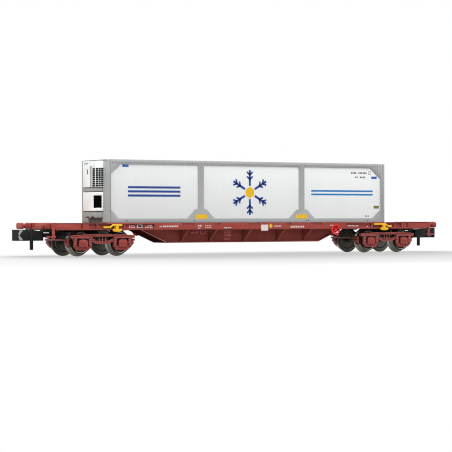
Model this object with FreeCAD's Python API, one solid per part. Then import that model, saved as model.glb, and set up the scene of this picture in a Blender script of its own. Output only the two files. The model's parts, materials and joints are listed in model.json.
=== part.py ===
"""A 1:160 model of a four-axle container flatcar that carries a long refrigerated container.

X runs along the car, Y across it and Z up. The origin is on the floor under the middle of the car.
The container's refrigeration unit is at the -X end, which is called left. The near side is -Y.
Left and right ends are half a turn apart about Z, so one end is built and turned for the other.
"""
import FreeCAD
import Part
import math
import os
from FreeCAD import Vector

os.makedirs("parts", exist_ok=True)

# ------------------------------------------------------------------ driving sizes, in millimetres
# Car
frame_length = 117.4         # over the outer faces of the end beams
frame_width = 15.8           # over the side sills
deck_top = 8.40              # height of the deck above the floor
pivot_inset = 14.2           # from a bogie pivot to the end beam's outer face
axle_spacing = 11.25         # from axle to axle in a bogie
running_gap = 0.05           # round a shaft that turns in its hole
seat_gap = 0.03              # under what rests loosely on another piece
small_sides = 16             # enough flats for a small bar to be as good as round

# Side sills and deck
sill_height = 1.75
sill_thickness = 0.8
sill_flange = 0.28           # flanges left above and below a sill's recess
sill_recess_depth = 0.45
# recesses in a sill's face, from and to along X, from the bogie pivot outwards
sill_recesses = ((-14.5, -5.95), (-5.6, 1.8), (2.15, 4.4), (6.1, 6.5))
# pockets in its top edge: middle and length, from the middle of the car outwards
sill_pockets = ((0.0, 3.8), (11.15, 1.7), (20.05, 3.6))
sill_pocket_height = 0.6
deck_thickness = 0.5
deck_pocket_depth = 0.2
deck_bar = 0.7               # width left beside a deck pocket ...
deck_end_bar = 1.4           # ... and between it and the end beam

# Fishbelly centre girder and its ribs
girder_width = 5.6           # over the webs
girder_web = 0.5
girder_flange = 0.35
girder_flange_width = 6.6
girder_bottom = 3.2
girder_rise_inset = 11.4     # from a bogie pivot to the end of the girder's slope
girder_rise = 9.1            # length of the slope
girder_shallow = 7.15        # bottom of the shallow stretches
rib_thickness = 0.5
rib_first = 10.65            # from the middle of the car to a rib ...
rib_second = 19.3            # ... and to the next

# Bolsters and pivots
bolster_width = 3.2
bolster_height = 1.15
pivot_radius = 1.2
pivot_bottom = 5.0

# End beams, buffers, steps
beam_thickness = 0.8
beam_bottom = 6.9
beam_top = 8.5
buffer_reach = 3.0           # from the end beam to the face of a buffer's head
buffer_offset = 5.5          # from the middle of the car to a buffer
buffer_height = 7.69
buffer_head = (3.4, 1.6, 0.55)       # width, height, thickness
buffer_housing = (2.1, 1.25, 1.5)    # width, height, length
buffer_stem_radius = 0.5
step_post = 0.6
step_proud = 0.15            # the post stands out from the end beam by this
step_bottom = 4.4
step_tread_rise = 0.4        # from the post's foot to the tread
step_tread_height = 0.35
step_tread_reach = 1.5       # how far the tread stands out from the end beam
step_tread_back = 0.7        # and how far it reaches under it
step_tread_width = 1.0

# Couplers
coupler_pivot_inset = 3.15   # from the end beam's outer face back to the swing pin
coupler_eye_to_lift = 1.75   # from the swing pin to the lift pin
coupler_pin_radius = 0.45
coupler_eye_radius = 1.05
drawbar_bottom = 4.85
drawbar_height = 1.05
coupler_box_width = 3.2
coupler_box_reach = 8.65     # from the swing pin to the inner end of the box
coupler_box_gap = 0.15       # between the box and the drawbar
lift_pin_radius = 0.3
neck_width = 0.8
fork_ear = 0.5
head_rear_gap = 1.15         # from the lift pin to the back of the head
head_length = 6.95
head_width = 3.6
head_bottom = 4.0
head_top = 6.8
head_rear_drop = 0.5         # the top slopes down to the head's back by this
head_block = 3.35            # length of the sloping block
head_waist = 1.1             # length of the waist in front of it
head_waist_depth = 0.4       # how far the waist lies inside the head's sides
head_wedge = 1.05            # length of the wedge behind the front plate
head_wedge_tip = 0.6         # height of the wedge where it carries the plate
head_plate = 0.35            # thickness of the front plate
tail_pin_inset = 2.45        # from the back of the head
tail_pin_radius = 0.45
tail_pin_bottom = 1.7
tail_pin_sides = 12

# Wheels and axles
flange_radius = 3.465
tread_radius = 2.9
wheel_back = 3.75            # from the middle of the axle to a wheel's back
wheel_width = 2.2
flange_width = 0.55
rim_thickness = 0.45
web_recess = 0.5
axle_radius = 0.6
journal_length = 1.0         # past the wheel's front

# Bogie side frames
side_gap = 0.45              # from a wheel's front to the side frame
side_thickness = 0.65
beam_reach = 9.0             # half the length of the top beam
beam_top_end = 5.33
beam_top_middle = 5.65
beam_depth = 0.73            # at the beam's ends
beam_lip = 0.35              # the top beam stands out from the side plate by this
frame_rim = 0.18             # raised edge round the beam's face and the belly's ...
frame_groove = 0.13          # ... and how deep the face inside it lies
opening_top = 5.02
opening_top_half = 3.45
opening_low = (2.0, 4.03)     # lower corners of the opening: along X from the middle, and height
opening_bottom = 3.8          # lowest point of its arched foot
opening_posts = (-0.87, 0.0, 0.87)
opening_post_width = 0.26
belly_top_half = 4.7
belly_low = (1.9, 3.3)       # lower corners of the belly
belly_bottom = 3.12          # lowest point of its arched foot
spring_offset = 2.1          # from the axle to a spring
spring_radius = 0.5
spring_sides = 6
wing_top = 2.55              # top of the plate under an axlebox and its springs
wing_reach = 2.6             # half its length at its top ...
wing_foot = 1.6              # ... and at its foot
wing_bottom = 1.6
axlebox_width = 2.4
axlebox_bottom = 2.4
axlebox_top = 4.2
axlebox_shoulder = 0.35      # bevel at the axlebox's top corners
axlebox_stand = 0.4          # the axlebox stands out from the side plate by this
axlebox_guide = 0.5          # width of the guide between an axlebox and the beam

# Bogie bolster and brake gear
centre_width = 4.2
centre_bottom = 4.4
centre_top = 5.5
centre_plate_radius = 2.1
centre_plate_top = 6.6
shoe_gap = 0.3               # between a brake shoe and the tread
shoe_width = 1.6
shoe_reach = 1.1             # from the tread to a brake shoe's tip
shoe_top = 4.6
shoe_bottom = 2.1
shoe_tip_height = 3.3
shoe_bevel = 0.5             # from the tip back to the shoe's top corner
shoe_steps = 4               # flats along a shoe's curve
brake_beam = (3.9, 4.4)      # bottom and top of the beam between two shoes
brake_beam_width = 0.4

# Fittings
hook_thickness = 0.4
# along X from the middle of the car: the upper arm's inner end, the stem, the start of the bend
# and the lower arm's outer end
rope_hook_places = (
    (-39.6, -40.95, -42.2, -44.8),
    (39.24, 42.7, 43.2, 45.14),
)
hook_bar = 0.45              # height of an arm
hook_stem = 0.8              # width of the stem
hook_bend = 0.7              # length of the slant between the arms
hook_drop = 0.57             # the lower arm lies this far below the upper one
hook_boss = 0.6              # half the length of the block that fills the sill behind the stem
hook_bottom = 6.2
hook_cup = 1.25              # half the width of the cup
hook_cup_height = 0.75
hook_cup_rise = 0.2          # from the cup's bottom to the start of its sides
hook_cup_foot = 0.55         # half the width of its flat bottom
handwheel_inset = 18.2       # from a bogie pivot to the handwheel
handwheel_drop = 0.25        # the wheel's middle lies this far below the sill
handwheel_radius = 1.5
handwheel_rim = 0.3
handwheel_sides = 12
handwheel_spoke = 0.15
handwheel_stand = 0.15       # from the sill to the wheel
lever_x = 7.8
lever_width = 1.75
lever_bottom = 3.95
lever_bar = 0.3
lever_rise = 0.9             # from the guard's foot to the lever's crosspiece

# Container
container_length = 86.15
container_width = 15.2
container_height = 16.05
container_x = 0.225          # its middle lies this far towards +X
skin = 0.65                  # side wall
side_frame_depth = 0.35
front_frame_depth = 0.3
rear_frame_depth = 0.9
top_rail = 1.08
bottom_rail = 1.08
post_width = 1.68
panel_middle = 29.9          # width of the middle opening
panel_shift = 0.375          # the middle opening lies this far towards -X in the container
edge_left = 0.15             # width of the grey edge at each end of a side
edge_right = 0.55
# corners cut off the left and right openings, each as (along X, along Z)
bottom_left_bevel = (2.1, 2.3)
top_left_bevel = (2.9, 2.4)
bottom_right_bevel = (2.7, 2.35)
top_right_bevel = (3.4, 2.8)
gusset_top_half = 1.65
gusset_bottom_half = 4.1
gusset_height = 2.4
floor_thickness = 0.8
roof_thickness = 0.5
roof_drop = 0.15             # the panel lies this far below the rails' tops
door_thickness = 0.5
door_gap = 0.1
door_border = 1.0
door_recess = 0.05           # the leaves lie this far inside the portal's face
rod_radius = 0.2
rod_inset = 1.6              # from a leaf's edge to a lock rod
rod_clearance = 0.05         # between a lock rod and the portal's face
handle_rise = 4.0            # from the container's bottom to the rods' handles
keeper_half = 0.45
keeper_height = 0.35
keepers = (0.12, 0.5, 0.88)  # shares of the container's height
peg_inset = 2.3              # from the container's end to a peg
peg_side = 1.5               # from the container's side to a peg
peg_long = 1.2               # a peg's length along the car
peg_wide = 0.8
peg_height = 0.5
peg_gap = 0.1
tunnel_width = 5.6
tunnel_depth = 0.5
tunnel_length = 16.0

# Refrigeration unit
unit_reach = 1.8             # how far it stands out of the container
unit_back_half = 4.27
unit_front_half = 3.45
unit_bottom = 9.7
unit_base_top = 11.4
unit_lower_top = 16.25
unit_band_top = 17.5
unit_top = 24.2
band_inset = 0.15
grille_bottom = 17.6
grille_top = 22.4
grille_rows = 9
grille_hole = 0.39
grille_hole_width = 0.48
grille_wall = 0.3
grille_columns = 3           # on a slanted side
grille_start = 0.58          # the first column's middle, in pitches from the front's corner
grille_front_hole = 1.25     # the wide holes on the front face
grille_front_edge = 0.28     # from them to the front's corner
groove_width = 1.15          # upright groove beside the wide holes
groove_gap = 0.17
groove_depth = 0.12
groove_margin = 0.35         # it passes the grille above by this
window_low = 12.25
window_high = 15.36
window_depth = 0.25
window_sunk = 0.05           # the pane lies this far inside the housing's face
window_front = 1.15          # width of the pane on the front, from the corner
window_side = 1.45           # its reach along X on the slanted side
foot_height = 0.3
foot_inner = 0.6             # the gaps under the base run from here ...
foot_outer = 2.2             # ... to here, from the middle

# ------------------------------------------------------------------ worked out from them
sill_bottom = deck_top - sill_height
sill_inner = frame_width / 2 - sill_thickness
deck_bottom = deck_top - deck_thickness
beam_outer = frame_length / 2
beam_inner = beam_outer - beam_thickness
pivot = beam_outer - pivot_inset
half_base = axle_spacing / 2
rise_end = pivot - girder_rise_inset
girder_flat = rise_end - girder_rise
ribs = (-rib_second, -rib_first, 0.0, rib_first, rib_second)
coupler_pivot = beam_outer - coupler_pivot_inset
lift_pivot = coupler_pivot + coupler_eye_to_lift
head_rear = lift_pivot + head_rear_gap
head_front = head_rear + head_length
wheel_front = wheel_back + wheel_width
drawbar_top = drawbar_bottom + drawbar_height
drawbar_middle = drawbar_bottom + drawbar_height / 2
fork_outer = neck_width / 2 + running_gap + fork_ear
rib_foot = girder_bottom + girder_flange
buffer_top = buffer_height + buffer_head[1] / 2
bolster_bottom = deck_bottom - bolster_height
side_inner = wheel_front + side_gap
side_outer = side_inner + side_thickness
axle_end = wheel_front + journal_length
axlebox_front = side_outer + axlebox_stand
shoe_tip = half_base + tread_radius + shoe_reach
container_bottom = deck_top + seat_gap
container_top = container_bottom + container_height
container_left = container_x - container_length / 2
container_right = container_x + container_length / 2
side_face = container_width / 2
door_face = container_right - door_recess
wall_face = side_face - side_frame_depth
wall_inner = wall_face - skin
side_left = container_left + front_frame_depth
unit_front = container_left - unit_reach
unit_slant = math.degrees(math.atan2(unit_back_half - unit_front_half, unit_reach))
side_right = container_right - rear_frame_depth
post_left = container_x - panel_shift - (panel_middle + post_width) / 2
post_right = container_x - panel_shift + (panel_middle + post_width) / 2
pegs = [(x, y) for x in (container_left + peg_inset, container_right - peg_inset)
        for y in (peg_side - side_face, side_face - peg_side)]


# ------------------------------------------------------------------ ways of making solids
def box(x0, x1, y0, y1, z0, z1):
    return Part.makeBox(x1 - x0, y1 - y0, z1 - z0, Vector(x0, y0, z0))


def wire(place, start, steps):
    """A closed wire: each step is a point, or a pair (point on an arc, the arc's end)."""
    edges = []
    here = place(*start)
    for step in list(steps) + [start]:
        if isinstance(step[0], tuple):
            end = place(*step[1])
            edges.append(Part.Arc(here, place(*step[0]), end).toShape())
        else:
            end = place(*step)
            if (end - here).Length < 1e-9:
                continue
            edges.append(Part.makeLine(here, end))
        here = end
    return Part.Wire(edges)


def plate_xz(start, steps, y0, y1):
    """An outline drawn in X and Z, and as thick as y0 to y1."""
    outline = wire(lambda x, z: Vector(x, y0, z), start, steps)
    return Part.Face(outline).extrude(Vector(0, y1 - y0, 0))


def plate_xy(start, steps, z0, z1):
    outline = wire(lambda x, y: Vector(x, y, z0), start, steps)
    return Part.Face(outline).extrude(Vector(0, 0, z1 - z0))


def plate_yz(start, steps, x0, x1):
    outline = wire(lambda y, z: Vector(x0, y, z), start, steps)
    return Part.Face(outline).extrude(Vector(x1 - x0, 0, 0))


def rod(radius, start, end):
    start, end = Vector(*start), Vector(*end)
    return Part.makeCylinder(radius, (end - start).Length, start, end - start)


def bar(radius, start, end, sides=8):
    """A small bar with flats, as fine mouldings have in place of round ones."""
    start, axis = Vector(*start), Vector(*end) - Vector(*start)
    turn = FreeCAD.Rotation(Vector(0, 0, 1), axis)
    corners = []
    for i in range(sides):
        angle = math.pi * (2 * i + 1) / sides
        corners.append(start + turn.multVec(Vector(radius * math.cos(angle), radius * math.sin(angle), 0)))
    return Part.Face(Part.makePolygon(corners + corners[:1])).extrude(axis)


def bar_hole(radius, start, end, sides=8):
    """A hole with flats that a bar or rod of this radius turns in."""
    return bar((radius + running_gap) / math.cos(math.pi / sides), start, end, sides)


def turned(x, z, start, steps):
    """A profile of (distance along Y, radius) turned about the line along Y through (x, z)."""
    outline = wire(lambda y, r: Vector(x, y, z + r), start, steps)
    return Part.Face(outline).revolve(Vector(x, 0, z), Vector(0, 1, 0), 360)


def joined(first, *others):
    return first.fuse(list(others)).removeSplitter() if others else first


def less(solid, *tools):
    return solid.cut(list(tools))


def loose(*solids):
    """Solids of one node that do not touch each other."""
    return Part.makeCompound([s for shape in solids for s in shape.Solids])


def flipped_x(solid):
    return solid.mirror(Vector(0, 0, 0), Vector(1, 0, 0))


def flipped_y(solid):
    return solid.mirror(Vector(0, 0, 0), Vector(0, 1, 0))


def half_turn(solid):
    result = solid.copy()
    result.rotate(Vector(0, 0, 0), Vector(0, 0, 1), 180)
    return result


def shifted(solid, x=0.0, y=0.0, z=0.0):
    result = solid.copy()
    result.translate(Vector(x, y, z))
    return result


# ------------------------------------------------------------------ flatcar
def girder_slice(lift, end, y):
    """The girder's outline between its ends, its bottom raised by lift, and as wide as y each way."""
    return plate_xz((-end, deck_bottom),
                    [(-rise_end, girder_shallow + lift), (-girder_flat, girder_bottom + lift),
                     (girder_flat, girder_bottom + lift), (rise_end, girder_shallow + lift),
                     (end, deck_bottom)],
                    -y, y)


def centre_girder():
    """The fishbelly: two deep webs on a flange that is wider than they are."""
    half = girder_width / 2
    inside = half - girder_web
    webs = less(girder_slice(0, rise_end, half),
                box(-rise_end, rise_end, -inside, inside, girder_bottom, deck_bottom))
    flange = less(girder_slice(0, rise_end, girder_flange_width / 2),
                  girder_slice(girder_flange, rise_end, girder_flange_width / 2))
    return joined(webs, flange)


def girder_ends():
    """The shallow stretches from the fishbelly to each bolster, and from there to the end beam."""
    half = girder_width / 2
    flange_half = girder_flange_width / 2
    flange_top = girder_shallow + girder_flange
    near, far = pivot - bolster_width / 2, pivot + bolster_width / 2
    web = box(rise_end, near, half - girder_web, half, girder_shallow, deck_bottom)
    flange = box(rise_end, near, -flange_half, flange_half, girder_shallow, flange_top)
    inner = joined(web, flipped_y(web), flange)
    outer = box(far, beam_inner, half - girder_web, half, girder_shallow, deck_bottom)
    made = [inner, outer, flipped_y(outer)]
    return loose(*made, *[flipped_x(piece) for piece in made])


def side_sill(side):
    """A moulded channel: a bar with recesses towards each end and small pockets in its top edge."""
    face = frame_width / 2
    floor = face - sill_recess_depth
    sill = box(-beam_inner, beam_inner, sill_inner, face, sill_bottom, deck_top)
    cells = [box(pivot + a, pivot + b, floor, face, sill_bottom + sill_flange, deck_top - sill_flange)
             for a, b in sill_recesses]
    cells += [box(x - length / 2, x + length / 2, floor, face, deck_top - sill_pocket_height, deck_top)
              for x, length in sill_pockets]
    sill = less(sill, *cells, *[flipped_x(cell) for cell in cells])
    return sill if side > 0 else half_turn(sill)


def cross_ribs():
    """Triangular ribs from the side sills down to the girder's webs and its flange."""
    web = girder_width / 2
    made = []
    for x in ribs:
        rib = plate_yz((web, deck_bottom),
                       [(sill_inner, deck_bottom), (sill_inner, sill_bottom),
                        (girder_flange_width / 2, rib_foot), (web, rib_foot)],
                       x - rib_thickness / 2, x + rib_thickness / 2)
        made += [rib, flipped_y(rib)]
    return loose(*made)


def deck_plate():
    """The deck between the sills, with shallow pockets in its open ends and four pegs."""
    deck = box(-beam_inner, beam_inner, -sill_inner, sill_inner, deck_bottom, deck_top)
    low = deck_top - deck_pocket_depth
    pocket = box(pivot + deck_bar, beam_inner - deck_end_bar, girder_width / 2, sill_inner - deck_bar,
                 low, deck_top)
    pockets = [pocket, flipped_y(pocket), flipped_x(pocket), half_turn(pocket)]
    return joined(less(deck, *pockets), *[peg(x, y, low, deck_top + peg_height, 0) for x, y in pegs])


def peg(x, y, z0, z1, gap):
    """A peg that locates the container, or with a gap the hole that it stands in."""
    length, width = peg_long / 2 + gap, peg_wide / 2 + gap
    return box(x - length, x + length, y - width, y + width, z0, z1)


def bolster(end):
    """A cross member between the sills, with the pin that the bogie turns on."""
    x = end * pivot
    beam = box(x - bolster_width / 2, x + bolster_width / 2, -sill_inner, sill_inner,
               bolster_bottom, deck_bottom)
    pin = rod(pivot_radius, (x, 0, pivot_bottom), (x, 0, bolster_bottom + bolster_height / 2))
    return joined(beam, pin)


def end_beam(end):
    half = frame_width / 2
    beam = box(beam_inner, beam_outer, -half, half, beam_bottom, beam_top)
    return beam if end > 0 else half_turn(beam)


def buffers(end):
    """Housing, stem and rectangular head of both buffers at one end."""
    head_width, head_height, head_thickness = buffer_head
    width, height, length = buffer_housing
    housing_end = beam_outer + length
    front = beam_outer + buffer_reach
    head_back = front - head_thickness
    z = buffer_height
    a, b = head_width / 2, head_height / 2
    corner = head_height / 4
    made = []
    for y in (-buffer_offset, buffer_offset):
        housing = box(beam_outer, housing_end, y - width / 2, y + width / 2, z - height / 2, z + height / 2)
        stem = bar(buffer_stem_radius, (housing_end - buffer_stem_radius, y, z),
                   (head_back + head_thickness / 2, y, z))
        head = plate_yz((y - a + corner, z - b),
                        [(y + a - corner, z - b), (y + a, z - b + corner), (y + a, z + b - corner),
                         (y + a - corner, z + b), (y - a + corner, z + b), (y - a, z + b - corner),
                         (y - a, z - b + corner)],
                        head_back, front)
        made.append(joined(housing, stem, head))
    both = loose(*made)
    return both if end > 0 else half_turn(both)


def coupler_box(end):
    """The box under the deck, between the girder's webs, that holds a coupler's swing pin."""
    half = coupler_box_width / 2
    body = box(coupler_pivot - coupler_box_reach, beam_inner, -half, half,
               drawbar_top + coupler_box_gap, deck_bottom)
    pin = bar(coupler_pin_radius, (coupler_pivot, 0, drawbar_bottom), (coupler_pivot, 0, deck_bottom))
    made = joined(body, pin)
    return made if end > 0 else half_turn(made)


def shunter_steps(end):
    """A post at each corner, under the end beam and a little proud of it, with a tread at its foot."""
    outer = frame_width / 2
    inner = outer - step_post
    front = beam_outer + step_proud
    tread_bottom = step_bottom + step_tread_rise
    post = box(front - step_post, front, inner, outer, step_bottom, beam_bottom)
    strap = box(beam_outer, front, inner, outer, beam_bottom, buffer_top)
    tread = box(beam_outer - step_tread_back, beam_outer + step_tread_reach, outer - step_tread_width, outer,
                tread_bottom, tread_bottom + step_tread_height)
    step = joined(post, strap, tread)
    both = loose(step, flipped_y(step))
    return both if end > 0 else half_turn(both)


def rope_hooks():
    """Anchor-shaped hooks for a shunting rope, one on each end of each sill."""
    face = frame_width / 2
    front = face + hook_thickness
    top = deck_top - sill_flange
    under = top - hook_bar
    horn = hook_bottom + hook_cup_height
    shoulder = hook_bottom + hook_cup_rise
    side = hook_cup - hook_bar
    made = []
    for inner, x, bend, outer in rope_hook_places:
        slant = math.copysign(hook_bend, x)
        arm = plate_xz((inner, under),
                       [(inner, top), (bend, top), (bend + slant, top - hook_drop), (outer, top - hook_drop),
                        (outer, under - hook_drop), (bend + slant, under - hook_drop), (bend, under)],
                       face, front)
        half = hook_stem / 2
        stem = box(x - half, x + half, face, front, hook_bottom + hook_bar / 2, top - hook_bar / 2)
        cup = plate_xz((x - hook_cup, horn),
                       [(x - hook_cup, shoulder), (x - hook_cup_foot, hook_bottom),
                        (x + hook_cup_foot, hook_bottom), (x + hook_cup, shoulder), (x + hook_cup, horn),
                        (x + side, horn), (x + half, hook_bottom + hook_bar),
                        (x - half, hook_bottom + hook_bar), (x - side, horn)],
                       face, front)
        boss = box(x - hook_boss, x + hook_boss, face - sill_recess_depth, face,
                   sill_bottom + sill_flange, top)
        made.append(joined(arm, stem, cup, boss))
    far = loose(*made)
    return loose(flipped_y(far), flipped_x(far))


def handwheels():
    """A brake handwheel on each side, on a bracket under the sill."""
    face = frame_width / 2
    x, z = pivot - handwheel_inset, sill_bottom - handwheel_drop
    back, front = face + handwheel_stand, face + handwheel_stand + handwheel_rim
    inner = handwheel_radius - handwheel_rim
    rim = less(bar(handwheel_radius, (x, back, z), (x, front, z), handwheel_sides),
               bar(inner, (x, back, z), (x, front, z), handwheel_sides))
    half = handwheel_spoke / 2
    reach = inner + half
    spokes = [box(x - reach, x + reach, back + half, back + 3 * half, z - half, z + half),
              box(x - half, x + half, back + half, back + 3 * half, z - reach, z + reach)]
    hub = box(x - handwheel_rim, x + handwheel_rim, face, front, z - handwheel_rim, z + handwheel_rim)
    bracket = box(x - 2 * handwheel_rim, x + 2 * handwheel_rim, face - sill_thickness, face,
                  z - 2 * handwheel_rim, sill_bottom)
    wheel = joined(rim, *spokes, hub, bracket)
    return loose(flipped_y(wheel), flipped_x(wheel))


def brake_levers():
    """A changeover lever's guard on each side: a U of flat bar under the sill."""
    half = lever_width / 2
    y0, y1 = sill_inner, sill_inner + lever_bar
    guard = less(box(-half, half, y0, y1, lever_bottom, sill_bottom),
                 box(-half + lever_bar, half - lever_bar, y0, y1, lever_bottom + lever_bar, sill_bottom))
    low = lever_bottom + lever_rise
    handle = box(-lever_bar / 2, lever_bar / 2, y1, y1 + lever_bar, low, sill_bottom)
    foot = box(-half, half, y1, y1 + lever_bar, low, low + lever_bar)
    lever = joined(guard, handle, foot)
    return loose(shifted(lever, lever_x), flipped_y(shifted(lever, -lever_x)))


# ------------------------------------------------------------------ bogies, built about x = 0
def grooved(start, steps, back, front):
    """A plate with a raised rim all round its front face."""
    inside = wire(lambda x, z: Vector(x, front - frame_groove, z), start, steps).makeOffset2D(-frame_rim, 2)
    return less(plate_xz(start, steps, back, front), Part.Face(inside).extrude(Vector(0, frame_groove, 0)))


def side_frame():
    """One side of a bogie: arched beam, open belly, axleboxes between springs on wing plates."""
    back, plate_face = side_inner, side_outer
    beam_face = plate_face + beam_lip
    beam_low = beam_top_end - beam_depth
    low_x, low_z = opening_low
    # half the width of the opening where the belly meets the beam
    arm = low_x + (opening_top_half - low_x) * (beam_low - low_z) / (opening_top - low_z)
    beam = grooved((-beam_reach, beam_top_end),
                   [((0, beam_top_middle), (beam_reach, beam_top_end)), (beam_reach, beam_low),
                    (arm, beam_low), (opening_top_half, opening_top), (-opening_top_half, opening_top),
                    (-arm, beam_low), (-beam_reach, beam_low)],
                   back, beam_face)
    foot_x, foot_z = belly_low
    belly = grooved((-belly_top_half, beam_low),
                    [(-foot_x, foot_z), ((0, belly_bottom), (foot_x, foot_z)), (belly_top_half, beam_low),
                     (arm, beam_low), (low_x, low_z), ((0, opening_bottom), (-low_x, low_z)),
                     (-arm, beam_low)],
                    back, plate_face)
    half = opening_post_width / 2
    sunk = plate_face - frame_groove
    posts = [box(x - half, x + half, back, sunk, opening_bottom, opening_top + frame_rim)
             for x in opening_posts]
    fittings = []
    bores = []
    for axle_x in (-half_base, half_base):
        left, right = axle_x - axlebox_width / 2, axle_x + axlebox_width / 2
        shoulder = axlebox_top - axlebox_shoulder
        body = plate_xz((left, axlebox_bottom),
                        [(left, shoulder), (left + axlebox_shoulder, axlebox_top),
                         (right - axlebox_shoulder, axlebox_top), (right, shoulder), (right, axlebox_bottom)],
                        back, axlebox_front)
        wing = plate_xz((axle_x - wing_reach, wing_top),
                        [(axle_x - wing_foot, wing_bottom), (axle_x + wing_foot, wing_bottom),
                         (axle_x + wing_reach, wing_top)],
                        back, plate_face)
        guide = box(axle_x - axlebox_guide / 2, axle_x + axlebox_guide / 2, back, plate_face,
                    axlebox_top, beam_low)
        y = back + spring_radius
        springs = [bar(spring_radius, (x, y, wing_top), (x, y, beam_low), spring_sides)
                   for x in (axle_x - spring_offset, axle_x + spring_offset)]
        fittings += [body, wing, guide] + springs
        bores.append(bar_hole(axle_radius, (axle_x, back, flange_radius),
                              (axle_x, axle_end + running_gap, flange_radius)))
    return less(joined(beam, belly, *posts, *fittings), *bores)


def bogie_centre():
    """The bolster between the side frames, with the hole for the car's pivot pin."""
    half = centre_width / 2
    beam = box(-half, half, -side_inner, side_inner, centre_bottom, centre_top)
    plate = bar(centre_plate_radius, (0, 0, centre_top), (0, 0, centre_plate_top), small_sides)
    hole = rod(pivot_radius + running_gap, (0, 0, centre_bottom), (0, 0, centre_plate_top))
    return less(joined(beam, plate), hole)


def brake_gear():
    """Outer brake shoes on a beam across each end of the bogie."""
    wheel_middle = wheel_front - (wheel_width - flange_width) / 2
    radius = tread_radius + shoe_gap
    low = math.asin((shoe_bottom - flange_radius) / radius)
    high = math.asin((shoe_top - flange_radius) / radius)
    curve = []
    for step in range(shoe_steps + 1):
        angle = low + (high - low) * step / shoe_steps
        curve.append((half_base + radius * math.cos(angle), flange_radius + radius * math.sin(angle)))
    # up the curve that follows the wheel, then down the shoe's bevelled back
    shoe = plate_xz(curve[0], curve[1:] + [(shoe_tip - shoe_bevel, shoe_top), (shoe_tip, shoe_tip_height)],
                    wheel_middle - shoe_width / 2, wheel_middle + shoe_width / 2)
    low_beam, high_beam = brake_beam
    beam = box(shoe_tip - brake_beam_width, shoe_tip, -side_inner, side_inner, low_beam, high_beam)
    end = joined(beam, shoe, flipped_y(shoe))
    return loose(end, flipped_x(end))


def wheel_pair():
    """Two wheels: bevelled flange, tread, rim and dished web, pressed on the axle."""
    back, front = wheel_back, wheel_front
    root = back + flange_width
    rim = tread_radius - rim_thickness
    solid = turned(0, flange_radius, (back, 0),
                   [(back, flange_radius), (root, tread_radius), (front, tread_radius), (front, rim),
                    (front - web_recess, rim), (front - web_recess, 0)])
    wheel = less(solid, bar(axle_radius, (0, back, flange_radius), (0, front, flange_radius), small_sides))
    return loose(wheel, flipped_y(wheel))


def axle():
    """A plain steel axle that runs in the axleboxes."""
    return bar(axle_radius, (0, -axle_end, flange_radius), (0, axle_end, flange_radius), small_sides)


# ------------------------------------------------------------------ couplers, built at the right end
def drawbar():
    """The swinging arm: an eye on the swing pin and a fork for the head."""
    z0, z1 = drawbar_bottom, drawbar_top
    knuckle = drawbar_height / 2
    ear_end = lift_pivot + knuckle
    flat = coupler_eye_radius / 2
    eye = coupler_pivot - coupler_eye_radius
    outline = plate_xy((coupler_pivot - flat, -coupler_eye_radius),
                       [(eye, -flat), (eye, flat), (coupler_pivot - flat, coupler_eye_radius),
                        (coupler_pivot, coupler_eye_radius), (lift_pivot - knuckle, fork_outer),
                        (ear_end, fork_outer), (ear_end, -fork_outer), (lift_pivot - knuckle, -fork_outer),
                        (coupler_pivot, -coupler_eye_radius)],
                       z0, z1)
    slot = box(lift_pivot - knuckle - running_gap, ear_end, fork_ear - fork_outer, fork_outer - fork_ear,
               z0, z1)
    hole = bar_hole(coupler_pin_radius, (coupler_pivot, 0, z0), (coupler_pivot, 0, z1))
    cross = bar_hole(lift_pin_radius, (lift_pivot, -fork_outer, drawbar_middle),
                     (lift_pivot, fork_outer, drawbar_middle))
    return less(outline, slot, hole, cross)


def coupler_head():
    """The hooked head: a front plate on a wedge, a waist, a sloping block and a tail pin."""
    half = neck_width / 2
    knuckle = drawbar_height / 2 - running_gap
    z = drawbar_middle
    flat = knuckle / 2
    neck = plate_xz((lift_pivot - flat, z - knuckle),
                    [(lift_pivot - knuckle, z - flat), (lift_pivot - knuckle, z + flat),
                     (lift_pivot - flat, z + knuckle), (head_rear, z + knuckle), (head_rear, z - knuckle)],
                    -half, half)
    pin = bar(lift_pin_radius, (lift_pivot, -fork_outer, z), (lift_pivot, fork_outer, z))
    side = head_width / 2
    back_of_plate = head_front - head_plate
    shoulder = back_of_plate - head_wedge
    tip = (head_bottom + head_top - head_wedge_tip) / 2
    waist_start = head_rear + head_block
    block = plate_xz((head_rear, head_bottom),
                     [(shoulder, head_bottom), (back_of_plate, tip), (back_of_plate, tip + head_wedge_tip),
                      (shoulder, head_top), (waist_start, head_top), (head_rear, head_top - head_rear_drop)],
                     -side, side)
    waist = box(waist_start, waist_start + head_waist, side - head_waist_depth, side, head_bottom, head_top)
    plate = box(back_of_plate, head_front, -side, side, head_bottom, head_top)
    pin_x = head_rear + tail_pin_inset
    tail = bar(tail_pin_radius, (pin_x, 0, tail_pin_bottom), (pin_x, 0, head_bottom), tail_pin_sides)
    return joined(less(block, waist, flipped_y(waist)), neck, pin, plate, tail)


# ------------------------------------------------------------------ container
def container_floor():
    """The floor between the end frames, with a tunnel under the unit's end and four peg holes."""
    top = container_bottom + floor_thickness
    floor = box(side_left, side_right, -wall_face, wall_face, container_bottom, top)
    tunnel = box(side_left, side_left + tunnel_length, -tunnel_width / 2, tunnel_width / 2,
                 container_bottom, container_bottom + tunnel_depth)
    return less(floor, tunnel, *[peg(x, y, container_bottom, top, peg_gap) for x, y in pegs])


def side_wall(side):
    """One side's white wall, from the floor to the roof."""
    wall = box(side_left, side_right, wall_inner, wall_face, container_bottom + floor_thickness,
               container_top - roof_thickness)
    return wall if side > 0 else flipped_y(wall)


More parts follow.
